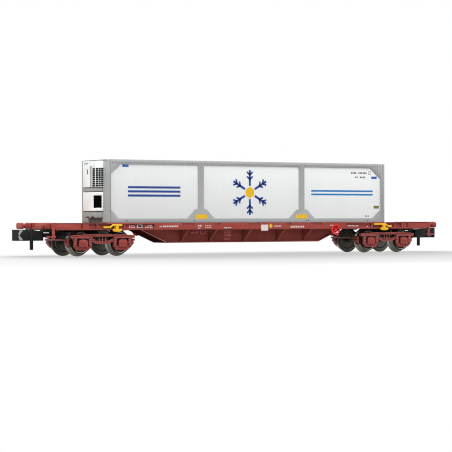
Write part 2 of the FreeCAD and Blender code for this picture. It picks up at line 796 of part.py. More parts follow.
def side_window(x0, x1, z0, z1, bevels):
    """An opening in a side frame. bevels: bottom left, bottom right, top right and top left corner,
    each as (along X, along Z)."""
    (blx, blz), (brx, brz), (trx, trz), (tlx, tlz) = bevels
    return plate_xz((x0 + blx, z0),
                    [(x1 - brx, z0), (x1, z0 + brz), (x1, z1 - trz), (x1 - trx, z1),
                     (x0 + tlx, z1), (x0, z1 - tlz), (x0, z0 + blz)],
                    wall_face, side_face)


def container_side_frame(side):
    """The grey frame over one side: rails, posts, gusset plates and three bevelled openings."""
    frame = box(side_left, side_right, wall_face, side_face, container_bottom, container_top)
    z0, z1 = container_bottom + bottom_rail, container_top - top_rail
    half = post_width / 2
    none = (0.0, 0.0)
    # left and right edge of each opening, then its four bevels
    openings = (
        (side_left + edge_left, post_left - half, (bottom_left_bevel, none, none, top_left_bevel)),
        (post_left + half, post_right - half, (none, none, none, none)),
        (post_right + half, side_right - edge_right, (none, bottom_right_bevel, top_right_bevel, none)),
    )
    frame = less(frame, *[side_window(x0, x1, z0, z1, bevels) for x0, x1, bevels in openings])
    gussets = [plate_xz((x - gusset_bottom_half, z0),
                        [(x + gusset_bottom_half, z0), (x + gusset_top_half, z0 + gusset_height),
                         (x - gusset_top_half, z0 + gusset_height)],
                        wall_face, side_face) for x in (post_left, post_right)]
    frame = joined(frame, *gussets)
    return frame if side > 0 else flipped_y(frame)


def container_roof():
    """The smooth roof panel between the side frames."""
    return box(side_left, side_right, -wall_face, wall_face, container_top - roof_thickness,
               container_top - roof_drop)


def front_frame():
    """The closed end that carries the refrigeration unit."""
    return box(container_left, side_left, -side_face, side_face, container_bottom, container_top)


def rear_frame():
    """The portal round the doors."""
    portal = box(side_right, container_right, -side_face, side_face, container_bottom, container_top)
    hole = box(side_right, container_right, -side_face + door_border, side_face - door_border,
               container_bottom + door_border, container_top - door_border)
    return less(portal, hole)


def door_leaf(side):
    leaf = box(door_face - door_thickness, door_face, door_gap / 2, side_face - door_border,
               container_bottom + door_border, container_top - door_border)
    return leaf if side > 0 else flipped_y(leaf)


def lock_rods():
    """Two lock rods on each door leaf, on keepers, with a handle."""
    leaf_edges = (door_gap / 2 + rod_inset, side_face - door_border - rod_inset)
    x = container_right + rod_clearance + rod_radius
    made = []
    for y, reach in zip(leaf_edges, (rod_inset, -rod_inset)):
        bottom, top = container_bottom + door_border / 2, container_top - door_border / 2
        pieces = []
        for share in keepers:
            z = container_bottom + share * container_height - keeper_height / 2
            pieces.append(box(door_face, x, y - keeper_half, y + keeper_half, z, z + keeper_height))
        y0, y1 = sorted((y, y + reach))
        z = container_bottom + handle_rise
        pieces.append(box(x - rod_radius / 2, x + rod_radius / 2, y0, y1, z, z + rod_radius))
        made.append(joined(bar(rod_radius, (x, y, bottom), (x, y, top), 6), *pieces))
    return loose(*made, *[flipped_y(piece) for piece in made])


# ------------------------------------------------------------------ refrigeration unit
def unit_block(z0, z1, inset=0.0):
    """A slice of the unit: narrower at its front than where it meets the container."""
    x = unit_front + inset
    a, b = unit_back_half - inset, unit_front_half - inset
    return plate_xy((container_left, -a), [(container_left, a), (x, b), (x, -b)], z0, z1)


def side_tool(middle, width, z0, z1, depth):
    """A box that cuts into the near slanted face, its middle so far from the front's corner."""
    tool = box(middle - width / 2, middle + width / 2, -depth, depth, z0, z1)
    tool.rotate(Vector(0, 0, 0), Vector(0, 0, 1), -unit_slant)
    tool.translate(Vector(unit_front, -unit_front_half, 0))
    return tool


def unit_base():
    """The unit's grey foot, with two shallow gaps under it."""
    base = unit_block(unit_bottom, unit_base_top, band_inset)
    gap = box(unit_front, container_left - unit_reach / 3, -foot_outer, -foot_inner,
              unit_bottom, unit_bottom + foot_height)
    return less(base, gap, flipped_y(gap))


def window_place():
    """The stretch of the housing, round its near front corner, that the pane takes up."""
    return box(unit_front, unit_front + window_side, -unit_back_half, window_front - unit_front_half,
               window_low, window_high)


def unit_lower():
    """The lower housing, with a pocket for the pane that goes round its corner."""
    pocket = less(window_place(), unit_block(window_low, window_high, window_depth))
    return less(unit_block(unit_base_top, unit_lower_top), pocket)


def unit_window():
    """The dark pane that fills the lower housing's pocket."""
    pane = less(unit_block(window_low, window_high, window_sunk),
                unit_block(window_low, window_high, window_depth))
    return pane.common(window_place())


def unit_band():
    return unit_block(unit_lower_top, unit_band_top, band_inset)


def unit_upper():
    """The upper housing: a shell with a grille of holes in its near, front and far faces."""
    shell = less(unit_block(unit_band_top, unit_top),
                 unit_block(grille_bottom, grille_top, grille_wall))
    pitch = (grille_top - grille_bottom) / grille_rows
    run = math.hypot(unit_reach, unit_back_half - unit_front_half)
    side_pitch = run / grille_columns
    near = -unit_front_half + grille_front_edge
    holes = []
    for row in range(grille_rows):
        z0 = grille_bottom + (row + 0.5) * pitch - grille_hole / 2
        z1 = z0 + grille_hole
        for column in range(grille_columns):
            hole = side_tool((column + grille_start) * side_pitch, grille_hole_width, z0, z1, 2 * grille_wall)
            holes += [hole, flipped_y(hole)]
        holes.append(box(unit_front, unit_front + grille_wall, near, near + grille_front_hole, z0, z1))
    groove_start = near + grille_front_hole + groove_gap
    groove = box(unit_front, unit_front + groove_depth, groove_start, groove_start + groove_width,
                 unit_band_top, grille_top + groove_margin)
    return less(shell, groove, *holes)


def unit_core():
    """The dark inside that shows through the grille."""
    return unit_block(grille_bottom, grille_top, grille_wall)


# ------------------------------------------------------------------ nodes
nodes = {
    "centre_girder": centre_girder(),
    "girder_ends": girder_ends(),
    "side_sill_near": side_sill(-1),
    "side_sill_far": side_sill(1),
    "cross_ribs": cross_ribs(),
    "deck_plate": deck_plate(),
    "rope_hooks": rope_hooks(),
    "handwheels": handwheels(),
    "brake_levers": brake_levers(),
    "container_floor": container_floor(),
    "container_wall_near": side_wall(-1),
    "container_wall_far": side_wall(1),
    "container_frame_near": container_side_frame(-1),
    "container_frame_far": container_side_frame(1),
    "container_roof": container_roof(),
    "container_front_frame": front_frame(),
    "container_rear_frame": rear_frame(),
    "door_leaf_near": door_leaf(-1),
    "door_leaf_far": door_leaf(1),
    "lock_rods": lock_rods(),
    "unit_base": unit_base(),
    "unit_lower_housing": unit_lower(),
    "unit_window": unit_window(),
    "unit_band": unit_band(),
    "unit_upper_housing": unit_upper(),
    "unit_core": unit_core(),
}

bogie_side = side_frame()
for name, end in (("left", -1), ("right", 1)):
    x = end * pivot
    nodes["bolster_" + name] = bolster(end)
    nodes["end_beam_" + name] = end_beam(end)
    nodes["buffers_" + name] = buffers(end)
    nodes["coupler_box_" + name] = coupler_box(end)
    nodes["shunter_steps_" + name] = shunter_steps(end)
    nodes["bogie_sides_" + name] = loose(shifted(bogie_side, x), shifted(flipped_y(bogie_side), x))
    nodes["bogie_centre_" + name] = shifted(bogie_centre(), x)
    nodes["brake_gear_" + name] = shifted(brake_gear(), x)
    for place, offset in (("outer", end * half_base), ("inner", -end * half_base)):
        nodes["wheels_%s_%s" % (name, place)] = shifted(wheel_pair(), x + offset)
        nodes["axle_%s_%s" % (name, place)] = shifted(axle(), x + offset)
    nodes["drawbar_" + name] = drawbar() if end > 0 else half_turn(drawbar())
    nodes["coupler_head_" + name] = coupler_head() if end > 0 else half_turn(coupler_head())

for name, shape in nodes.items():
    shape.exportStep("parts/%s.step" % name)
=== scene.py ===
"""Looks of a 1:160 model of a container flatcar with a long refrigerated container.

The frame holds the solids in metres: X along the car, Y across it and Z up, with the refrigeration
unit at the -X end and the near side towards -Y. The shapes below are written in millimetres.
"""
import json
import math

import bmesh
import bpy
from mathutils import Matrix, Vector


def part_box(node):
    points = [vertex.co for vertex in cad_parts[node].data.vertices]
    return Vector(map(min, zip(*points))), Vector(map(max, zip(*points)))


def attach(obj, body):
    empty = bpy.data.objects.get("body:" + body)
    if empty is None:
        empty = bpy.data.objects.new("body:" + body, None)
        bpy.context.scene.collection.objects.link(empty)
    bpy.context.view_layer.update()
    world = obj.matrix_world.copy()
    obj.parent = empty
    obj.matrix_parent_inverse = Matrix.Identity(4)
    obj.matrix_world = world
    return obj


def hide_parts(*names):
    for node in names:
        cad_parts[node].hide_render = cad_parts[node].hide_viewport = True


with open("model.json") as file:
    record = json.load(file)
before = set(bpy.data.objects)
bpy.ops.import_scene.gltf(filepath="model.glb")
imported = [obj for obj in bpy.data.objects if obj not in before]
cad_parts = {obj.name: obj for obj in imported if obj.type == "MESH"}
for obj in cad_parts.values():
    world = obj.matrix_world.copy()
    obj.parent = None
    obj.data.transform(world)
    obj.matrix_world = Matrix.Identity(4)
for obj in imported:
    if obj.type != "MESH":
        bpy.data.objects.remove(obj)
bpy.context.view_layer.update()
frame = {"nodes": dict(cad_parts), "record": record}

mm = 0.001
ENDS = (("left", -1), ("right", 1))
SIDES = (("near", -1), ("far", 1))
PLACES = ("outer", "inner")

# ------------------------------------------------------------------ sizes in millimetres
# Girder, sills and deck. A reach is measured from the car's middle.
flange_reach = 3.3
slope_foot = (24.0, 3.49)    # along and up
slope_head = (32.9, 7.35)
slope_highlight = 0.14            # height of the painted highlight along a slope's edge
deck_edge_span = (43.6, 58.2)
deck_edge_height = 0.2
keel_width = 2.7
pipe_reach = 7.0
sill_recess = 0.45           # depth of the recesses in a sill's face
mark_rise = 0.03             # thickness of print on the car
plate_rise = 0.12
diamond_middle = (5.4, 7.5)  # along and up

# Handwheels
wheel_rim = 0.24             # radius of the rim's round section
wheel_spokes = 6
wheel_stand = 0.3            # from the sill's face to the rim

# Wheels
wheel_back = 3.75            # a wheel's back, from the car's middle
tread_radius = 2.9
tread_taper = 0.06           # the tread's radius falls by this from flange to front
rim_inner = 2.42             # inside of the tyre
ring_width = 0.13            # width of the painted highlight on the bevel between tyre and disc
disc_dish = 0.42             # how far the disc lies inside the rim's face
hub_radius = 1.05
hub_reach = 0.28             # how far the hub stands out of the disc
lathe_steps = 96

# Springs under the side frames
side_frame_back = 6.4
spring_offset = 2.1          # from an axle to a spring
spring_inset = 0.5           # from the side frame's back to a spring's middle
spring_foot = 2.58
spring_head = 4.58
spring_radius = 0.47
spring_wire = 0.09
spring_turns = 5
spring_steps = 14            # for each turn

# Axleboxes
boss_radius = 0.35           # round cap in the middle of an axlebox
boss_level = 3.62
boss_rise = 0.14
bolt_radius = 0.13
bolt_columns = (-0.85, 0.85)
bolt_rows = (-0.95, 0.35)    # from the cap's level

# Coupler heads
head_level = 5.4
wedge_half = 1.2             # half the height of the painted highlight on the wedge
face_half = 1.3              # half the height of the painted shade on the flat face

# Container
rivet_radius = 0.15
rivet_rise = 0.08
rivet_pitch = 0.9
rivet_start = 0.6            # from a top rail's ends to the first and last rivet
rivet_drop = 0.74            # from the container's top to the row of rivets
post_inset = 0.35            # from the right end to the rivets on the posts
decal_rise = 0.03            # thickness of print and thin plates
flake_middle = (-0.75, 16.35)
flake_arm = 5.9
flake_width = 0.62
hexagon_radius = 1.55
bottom_bolt_level = 8.98

# Doors
rod_radius = 0.2
rod_inset = 1.6              # from a door leaf's edge to a lock rod
keeper_places = (0.03, 0.25, 0.5, 0.75, 0.97)
handle_place = 0.3           # in shares of a rod's height, as the keepers' places
seal_width = 0.22
hinge_places = (0.1, 0.37, 0.63, 0.9)

# Refrigeration unit
unit_front_half = 3.45       # half the unit's width at its front
grille_bottom = 17.6
grille_top = 22.4
grille_rows = 9
grille_columns = 3
grille_start = 0.58          # the first column's middle, in pitches from the front's corner
grille_dark = (0.56, 0.44)   # width and height of a hole with its dark edging
grille_front = (-3.22, -1.87)
shade_inset = 0.1            # from the housing's skin to the dark block behind the grille

# Studio, in metres. The camera's lens and film are in millimetres.
shadow_depth = 8.0           # how much steeper the floor's painted contact shadow is than a plain one
shadow_reach = 0.1
mirror_depth = 0.7           # as shadow_depth, for the floor as gloss shows it
shadow_level = 0.6           # brightness of the floor where it is darkest
shadow_lean = 0.5            # how far the open sky that shapes the painted shadow leans towards the far side
floor_reach = 60.0
floor_shade = 0.3            # how pale the floor is to plain light
surround_level = 0.16        # brightness of the surroundings to plain light
lamp_aim = (0, 0, 0.01)
camera_place = (-0.259077, -0.41158, 0.009454)
camera_turn = (31.8226, -0.2316, -0.089)       # yaw, pitch and roll in degrees
camera_lens = 144.77
camera_film = 36

# ------------------------------------------------------------------ print: from, to, bottom, top, dashes
recess_marks = ((-37.2, -35.3, 7.15, 7.42, 4), (-37.2, -35.6, 7.56, 7.74, 3), (-32.5, -30.2, 7.1, 7.42, 5),
                (-31.7, -30.4, 7.6, 7.85, 3), (30.8, 34.5, 7.3, 7.62, 8), (37.2, 38.0, 7.1, 7.35, 1))
face_marks = ((-28.5, -27.7, 7.3, 7.62, 2), (-27.4, -22.9, 7.3, 7.7, 9), (-17.1, -15.8, 7.45, 7.8, 2),
              (-17.1, -15.8, 6.95, 7.1, 1), (-14.9, -12.9, 7.55, 7.72, 4), (-14.9, -12.9, 7.1, 7.26, 4),
              (-9.1, -6.8, 6.95, 7.2, 4), (6.6, 8.9, 7.3, 7.6, 5), (11.8, 16.3, 7.05, 7.5, 8),
              (24.7, 26.2, 7.5, 7.75, 3))
panel_marks = ((32.1, 34.0, 21.72, 22.12, 4), (34.6, 37.5, 21.72, 22.12, 6), (33.5, 34.5, 20.55, 20.95, 2),
               (35.1, 37.0, 20.55, 20.95, 4), (36.85, 38.2, 9.95, 10.25, 3))
panel_box = ((38.0, 38.65, 21.5, 21.6), (38.0, 38.65, 22.25, 22.35), (38.0, 38.1, 21.6, 22.25),
             (38.55, 38.65, 21.6, 22.25))


def box_mm(node):
    low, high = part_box(node)
    return low / mm, high / mm


def middle_mm(node):
    low, high = box_mm(node)
    return (low + high) / 2


# ------------------------------------------------------------------ shader writing
class Value:
    """An output socket. Arithmetic on it adds Math nodes."""

    def __init__(self, finish, socket):
        self.finish = finish
        self.socket = socket

    def math(self, operation, *values):
        return self.finish.node("ShaderNodeMath", {"operation": operation}, dict(enumerate(values)))

    def __add__(self, other):
        return self.math("ADD", self, other)

    def __radd__(self, other):
        return self.math("ADD", other, self)

    def __rsub__(self, other):
        return self.math("SUBTRACT", other, self)

    def __mul__(self, other):
        return self.math("MULTIPLY", self, other)

    def __rmul__(self, other):
        return self.math("MULTIPLY", other, self)

    def __pow__(self, other):
        return self.math("POWER", self, other)

    def wave(self, length):
        """From -1 to 1 and back over this many millimetres."""
        return self.math("SINE", self * (2 * math.pi / (length * mm)))

    def above(self, limit, soft):
        """0 below the limit and 1 from soft above it."""
        return self.finish.node("ShaderNodeMapRange", {"clamp": True},
                                {"Value": self, "From Min": limit, "From Max": limit + soft})


def colour(red, green, blue):
    """An 8-bit colour as the linear one that a shader takes."""
    def linear(part):
        part /= 255
        return part / 12.92 if part <= 0.04045 else ((part + 0.055) / 1.055) ** 2.4
    return (linear(red), linear(green), linear(blue), 1.0)


def shade(tint, factor):
    return tuple(part * factor for part in tint[:3]) + (1.0,)


def paler(tint, share):
    """The colour moved by this share of the way to white."""
    return tuple(part + (1 - part) * share for part in tint[:3]) + (1.0,)


class Finish:
    """A material: its constants sit on the shader's sockets, and nodes feed what varies."""

    def __init__(self, name, **constants):
        self.material = bpy.data.materials.new(name)
        self.material.use_nodes = True
        self.tree = self.material.node_tree
        self.shader = self.tree.nodes["Principled BSDF"]
        for socket, value in constants.items():
            self.shader.inputs[socket.replace("_", " ")].default_value = value

    def node(self, kind, settings, inputs, output=0):
        made = self.tree.nodes.new(kind)
        for setting, value in settings.items():
            setattr(made, setting, value)
        for socket, value in inputs.items():
            if isinstance(value, Value):
                self.tree.links.new(value.socket, made.inputs[socket])
            else:
                made.inputs[socket].default_value = value
        return Value(self, made.outputs[output])

    def place(self):
        """Where a point lies on the piece, in metres."""
        return self.node("ShaderNodeTexCoord", {}, {}, "Object")

    def part(self, axis):
        return self.node("ShaderNodeSeparateXYZ", {}, {"Vector": self.place()}, axis)

    def noise(self, size, detail=2.0, stretch=(1, 1, 1)):
        """Soft noise with lumps of about this many millimetres."""
        place = self.node("ShaderNodeVectorMath", {"operation": "MULTIPLY"},
                          {0: self.place(), 1: stretch})
        return self.node("ShaderNodeTexNoise", {},
                         {"Vector": place, "Scale": 1 / (size * mm), "Detail": detail})

    def blend(self, factor, first, second):
        """From the first colour at 0 to the second at 1."""
        mix = self.tree.nodes.new("ShaderNodeMix")
        mix.data_type = "RGBA"
        for socket, value in ((0, factor), (6, first), (7, second)):
            if isinstance(value, Value):
                self.tree.links.new(value.socket, mix.inputs[socket])
            else:
                mix.inputs[socket].default_value = value
        return Value(self, mix.outputs[2])

    def edges(self, radius):
        """1 on edges and corners that stick out or in, 0 on plain faces."""
        rounded = self.node("ShaderNodeBevel", {"samples": 4}, {"Radius": radius * mm})
        flat = self.node("ShaderNodeNewGeometry", {}, {}, "Normal")
        same = self.node("ShaderNodeVectorMath", {"operation": "DOT_PRODUCT"},
                         {0: rounded, 1: flat}, "Value")
        return (1 - same).above(0.01, 0.12)

    def open_air(self, reach):
        """1 in the open and 0 deep in a gap or corner narrower than this many millimetres."""
        air = self.node("ShaderNodeAmbientOcclusion", {"samples": 8}, {"Distance": reach * mm}, "AO")
        return air.above(0.25, 0.5)

    def bump(self, height, distance):
        """Relief of this many millimetres from a height of 0 to 1."""
        self.feed("Normal", self.node("ShaderNodeBump", {}, {"Height": height, "Distance": distance * mm}))

    def feed(self, socket, value):
        self.tree.links.new(value.socket, self.shader.inputs[socket])


# ------------------------------------------------------------------ finishes
def moulded(name, tint, roughness=0.42, variation=0.12, specular=0.45, wear_and_highlight=0.0, painted_shade=0.0,
            under=0.0):
    """Coloured plastic with a thin coat of matt paint: faint clouds, a fine grain, a painted highlight on
    edges, painted shade in corners and painted shade on the underside."""
    finish = Finish(name, Specular_IOR_Level=specular)
    clouds = finish.noise(3.0, 3.0)
    grain = finish.noise(0.12, 2.0)
    paint = finish.blend(clouds, shade(tint, 1 - variation), shade(tint, 1 + variation))
    # Painted highlight: edges paled towards white.
    if wear_and_highlight:
        paint = finish.blend(finish.edges(0.1) * wear_and_highlight, paint, paler(tint, 0.3))
    # Painted shade: corners and gaps darkened where little open air is around them.
    if painted_shade:
        paint = finish.blend((1 - finish.open_air(0.9)) * painted_shade, paint, shade(tint, 0.12))
    # Painted shade: faces that look downwards are darkened.
    if under:
        normal = finish.node("ShaderNodeNewGeometry", {}, {}, "Normal")
        down = 0 - finish.node("ShaderNodeSeparateXYZ", {}, {"Vector": normal}, "Z")
        paint = finish.blend(down.above(0.4, 0.3) * under, paint, shade(tint, 0.15))
    finish.feed("Base Color", paint)
    finish.feed("Roughness", roughness - 0.06 + 0.12 * grain)
    finish.bump(grain + 0.5 * clouds, 0.012)
    return finish.material


def sprayed(name, tint, roughness=0.38, painted_shade=0.0):
    """Smooth spray paint with a faint orange peel, soft streaks down the wall and painted shade in the
    corners.
    """
    finish = Finish(name, Specular_IOR_Level=0.3)
    streaks = finish.noise(2.2, 3.0, (1, 1, 0.15))
    peel = finish.noise(0.22, 1.0)
    paint = finish.blend(streaks, shade(tint, 0.965), shade(tint, 1.02))
    # Painted shade: corners and gaps darkened where little open air is around them.
    if painted_shade:
        paint = finish.blend((1 - finish.open_air(0.9)) * painted_shade, paint, shade(tint, 0.2))
    finish.feed("Base Color", paint)
    finish.feed("Roughness", roughness - 0.05 + 0.1 * peel)
    finish.bump(peel, 0.006)
    return finish.material


def turned_metal(name, tint, roughness):
    """Metal with fine rings from the lathe about the axle, and faint smudges."""
    finish = Finish(name, Metallic=1.0)
    x, z = finish.part("X"), finish.part("Z")
    radius = (x * x + z * z) ** 0.5
    rings = radius.wave(0.16)
    smudges = finish.noise(1.4, 3.0)
    finish.feed("Base Color", finish.blend(smudges, shade(tint, 0.8), shade(tint, 1.15)))
    finish.feed("Roughness", roughness + 0.12 * smudges)
    finish.bump(rings, 0.0015)
    return finish.material


def printed(name, tint, roughness=0.4):
    """Ink or a thin enamelled plate: even, with a slight mottle."""
    finish = Finish(name)
    mottle = finish.noise(0.5, 2.0)
    finish.feed("Base Color", finish.blend(mottle, shade(tint, 0.9), shade(tint, 1.06)))
    finish.feed("Roughness", roughness - 0.05 + 0.1 * mottle)
    finish.bump(mottle, 0.003)
    return finish.material


def dark_pane(name):
    """A black pane with faint upright slats behind it."""
    finish = Finish(name, Specular_IOR_Level=0.0)
    slats = finish.part("Y").wave(0.28)
    finish.feed("Base Color", finish.blend(0.5 + 0.5 * slats, colour(4, 4, 3), colour(13, 13, 11)))
    finish.feed("Roughness", 0.3 + 0.05 * slats)
    return finish.material


# Moulded: roughness, clouds, specular, painted highlight on edges, painted shade in corners, painted shade
# underneath
red_brown = moulded("red_brown_plastic", colour(150, 65, 57), 0.42, 0.12, 0.18, 0.5, 0.7, 0.75)
# Painted light: the girder and its ribs get paler copies of the sills' red-brown, which lighten them in the
# deck's shade.
girder_lit_brown = moulded("girder_red_brown_painted_light", colour(180, 93, 84), 0.46, 0.12, 0.0, 0.5, 0.35, 0.9)
rib_lit_brown = moulded("rib_red_brown_painted_light", colour(184, 96, 82), 0.46, 0.12, 0.0, 0.9, 0.6)
# A darker copy of the red-brown: painted shade along the deck plate's edge.
deck_edge_shade = moulded("deck_edge_painted_shade", colour(112, 50, 44), 0.5, 0.1, 0.1)
# A pale copy of the red-brown: painted highlight along the girder's flange.
flange_highlight = moulded("flange_painted_highlight", colour(226, 190, 176), 0.4, 0.1, 0.3)
bogie_brown = moulded("bogie_red_brown", colour(150, 59, 52), 0.38, 0.14, 0.3, 0.6, 0.8)
black_plastic = moulded("black_plastic", colour(23, 24, 25), 0.4, 0.2, 0.2, 0.35, 0.5)
hook_yellow = moulded("hook_yellow", colour(238, 186, 28), 0.35, 0.05)
signal_red = moulded("signal_red", colour(228, 24, 30), 0.3, 0.06, 0.3, 0.3, 0.6)
container_grey = sprayed("container_grey", colour(161, 162, 162), 0.38, 0.5)
panel_white = sprayed("panel_white", colour(231, 232, 232), 0.36)
rod_grey = sprayed("rod_grey", colour(140, 141, 142), 0.4)
unit_white = moulded("unit_white", colour(232, 237, 235), 0.4, 0.02, 0.3)
unit_grey = moulded("unit_grey", colour(154, 156, 152), 0.45, 0.08, 0.3, 0.0, 0.85)
# Painted light: the unit's base and the front frame get cooler copies of their greys, which cancel the red
# light bounced onto them from the deck.
unit_base_grey = moulded("unit_base_grey", colour(146, 157, 150), 0.45, 0.08, 0.2, 0.0, 0.85)
front_grey = sprayed("container_front_grey", colour(153, 157, 155), 0.4, 0.75)
inside_black = moulded("inside_black", colour(8, 8, 8), 0.7, 0.3, 0.05)
pane_black = dark_pane("pane_black")
black_metal = turned_metal("blackened_metal", colour(104, 101, 95), 0.36)
rim_black = turned_metal("blackened_rim", colour(52, 50, 46), 0.4)
tread_metal = turned_metal("worn_tread", colour(178, 172, 163), 0.34)
# A paler copy of the wheels' metal: painted highlight on the tyres' inner bevel.
rim_highlight_metal = turned_metal("rim_painted_highlight", colour(222, 220, 214), 0.22)
plate_yellow = printed("plate_yellow", colour(228, 182, 20))
plate_olive = printed("plate_olive", colour(146, 136, 40))
plate_blue = printed("plate_blue", colour(20, 92, 168))
plate_black = printed("plate_black", colour(16, 16, 16))
mark_white = printed("mark_white", colour(222, 214, 210))
# A pale grey for painted highlights on the couplers' wedge slopes.
wedge_highlight = printed("wedge_painted_highlight", colour(160, 162, 158), 0.35)
stripe_blue = printed("stripe_dark_blue", colour(16, 62, 140))
stripe_light = printed("stripe_light_blue", colour(30, 116, 184))
rivet_dark = printed("rivet_shadow_grey", colour(86, 88, 88))
mark_dark = printed("mark_dark_grey", colour(24, 25, 27))
# A cool grey sheet of painted shade under the unit's base.
sill_shade = printed("front_sill_painted_shade", colour(108, 122, 120), 0.6)
# A blacker copy of the black plastic: painted shade on the couplers' flat faces.
coupler_face_shade = moulded("coupler_face_painted_shade", colour(9, 9, 10), 0.55, 0.3, 0.1)
gasket_black = moulded("gasket_black", colour(34, 34, 34), 0.55, 0.1)


# ------------------------------------------------------------------ shapes
class Form:
    """Faces gathered in millimetres about the car's origin, made into one piece at the end."""

    def __init__(self):
        self.mesh = bmesh.new()
        self.finish = 0

    def face(self, corners):
        made = self.mesh.faces.new(corners)
        made.material_index = self.finish
        made.smooth = True
        return made

    def points(self, places):
        return [self.mesh.verts.new(Vector(place) * mm) for place in places]

    def box(self, one, other):
        """A block between two opposite corners."""
        (x0, x1), (y0, y1), (z0, z1) = (sorted(pair) for pair in zip(one, other))
        corners = self.points([(x, y, z) for z in (z0, z1) for y in (y0, y1) for x in (x0, x1)])
        for side in ((0, 2, 3, 1), (4, 5, 7, 6), (0, 1, 5, 4), (2, 6, 7, 3), (0, 4, 6, 2), (1, 3, 7, 5)):
            self.face([corners[i] for i in side])

    def prism(self, outline, place, depth):
        """An outline of (u, v) points between place(u, v, 0) and place(u, v, depth)."""
        first = self.points([place(u, v, 0.0) for u, v in outline])
        second = self.points([place(u, v, depth) for u, v in outline])
        self.face(first)
        self.face(list(reversed(second)))
        for i in range(len(outline)):
            j = (i + 1) % len(outline)
            self.face((first[j], first[i], second[i], second[j]))

    def rings(self, loops, closed=False):
        """Skin over loops with the same number of places."""
        made = [self.points(loop) for loop in loops]
        if closed:
            made.append(made[0])
        for a, b in zip(made, made[1:]):
            for i in range(len(a)):
                j = (i + 1) % len(a)
                self.face((a[i], a[j], b[j], b[i]))
        return made

    def lathe(self, profile, steps=lathe_steps):
        """A profile of (along Y, radius, finish) turned about the Y axis."""
        made = []
        for y, radius, _ in profile:
            made.append(self.points([(radius * math.sin(2 * math.pi * i / steps), y,
                                      radius * math.cos(2 * math.pi * i / steps)) for i in range(steps)]))
        for (a, b), (_, _, finish) in zip(zip(made, made[1:]), profile):
            self.finish = finish
            for i in range(steps):
                j = (i + 1) % steps
                self.face((a[i], a[j], b[j], b[i]))
        self.face(list(reversed(made[0])))
        self.face(made[-1])

    def tube(self, path, radius, sides=8):
        """A round wire along a path, closed at both ends."""
        path = [Vector(p) for p in path]
        loops = []
        side = None
        for i, p in enumerate(path):
            ahead = (path[min(i + 1, len(path) - 1)] - path[max(i - 1, 0)]).normalized()
            if side is None:
                side = ahead.orthogonal().normalized()
            side = (side - ahead * side.dot(ahead)).normalized()
            other = ahead.cross(side)
            loops.append([p + radius * (math.cos(2 * math.pi * k / sides) * side +
                                        math.sin(2 * math.pi * k / sides) * other) for k in range(sides)])
        made = self.rings(loops)
        self.face(list(reversed(made[0])))
        self.face(made[-1])

    def dome(self, centre, out, radius, rise, sides=8):
        """A rivet head on a face that looks along out."""
        centre, out = Vector(centre), Vector(out)
        side = out.orthogonal().normalized()
        other = out.cross(side)
        loops = []
        for share in (0.0, 0.55):
            spread = radius * math.cos(share * math.pi / 2)
            lift = rise * math.sin(share * math.pi / 2)
            loops.append([centre + out * lift + spread * (math.cos(2 * math.pi * k / sides) * side +
                                                          math.sin(2 * math.pi * k / sides) * other)
                          for k in range(sides)])
        made = self.rings(loops)
        top = self.points([centre + out * rise])[0]
        for k in range(sides):
            self.face((made[1][k], made[1][(k + 1) % sides], top))

    def made(self, name, body, slot, finishes, soft=0.0, stands_for=()):
        """The piece, its edges softened by this many millimetres."""
        bmesh.ops.recalc_face_normals(self.mesh, faces=self.mesh.faces)
        data = bpy.data.meshes.new(name)
        self.mesh.to_mesh(data)
        self.mesh.free()
        for finish in finishes if isinstance(finishes, (list, tuple)) else [finishes]:
            data.materials.append(finish)
        piece = bpy.data.objects.new(name, data)
        bpy.context.scene.collection.objects.link(piece)
        soften(piece, soft)
        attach(piece, body)
        for node in stands_for:
            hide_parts(node)
        return piece


def soften(piece, width):
    """Rounds the sharp edges by this many millimetres and shades the rest flat or round as it is."""
    if width > 0:
        bevel = piece.modifiers.new("soft_edges", "BEVEL")
        bevel.width = width * mm
        bevel.segments = 2
        bevel.limit_method = "ANGLE"
        bevel.angle_limit = math.radians(32)
        bevel.harden_normals = True
    else:
        sharp = piece.data.attributes.new("sharp_edge", "BOOLEAN", "EDGE")
        mesh = bmesh.new()
        mesh.from_mesh(piece.data)
        flags = [len(e.link_faces) != 2 or e.calc_face_angle(0.0) > math.radians(32) for e in mesh.edges]
        mesh.free()
        sharp.data.foreach_set("value", flags)


def body_of(node):
    for body, nodes in frame["record"]["behaviour"]["bodies"].items():
        if node in nodes:
            return body


def slot_of(node):
    for part in frame["record"]["subparts"]:
        if part["node"] == node:
            return part["material_slot"]


def softened(node, width, finish):
    """A copy of a solid's mesh with softened edges, which stands for that node."""
    form = Form()
    form.mesh.from_mesh(frame["nodes"][node].data)
    bmesh.ops.remove_doubles(form.mesh, verts=form.mesh.verts, dist=0.0005 * mm)
    bmesh.ops.dissolve_limit(form.mesh, angle_limit=math.radians(1), verts=form.mesh.verts,
                             edges=form.mesh.edges)
    for face in form.mesh.faces:
        face.smooth = True
        face.material_index = 0
    return form.made(node + "_moulding", body_of(node), slot_of(node), finish, width, [node])


# ------------------------------------------------------------------ flatcar
def car_frame():
    softened("centre_girder", 0.06, girder_lit_brown)
    softened("girder_ends", 0.05, girder_lit_brown)
    softened("cross_ribs", 0.05, rib_lit_brown)
    for node, width in (("deck_plate", 0.05), ("side_sill_near", 0.06), ("side_sill_far", 0.06),
                        ("brake_levers", 0.05)):
        softened(node, width, red_brown)
    for end, _ in ENDS:
        softened("bolster_" + end, 0.05, red_brown)
        softened("end_beam_" + end, 0.08, red_brown)
        softened("buffers_" + end, 0.09, red_brown)
        softened("shunter_steps_" + end, 0.06, red_brown)
        softened("coupler_box_" + end, 0.06, black_plastic)
    softened("rope_hooks", 0.1, hook_yellow)


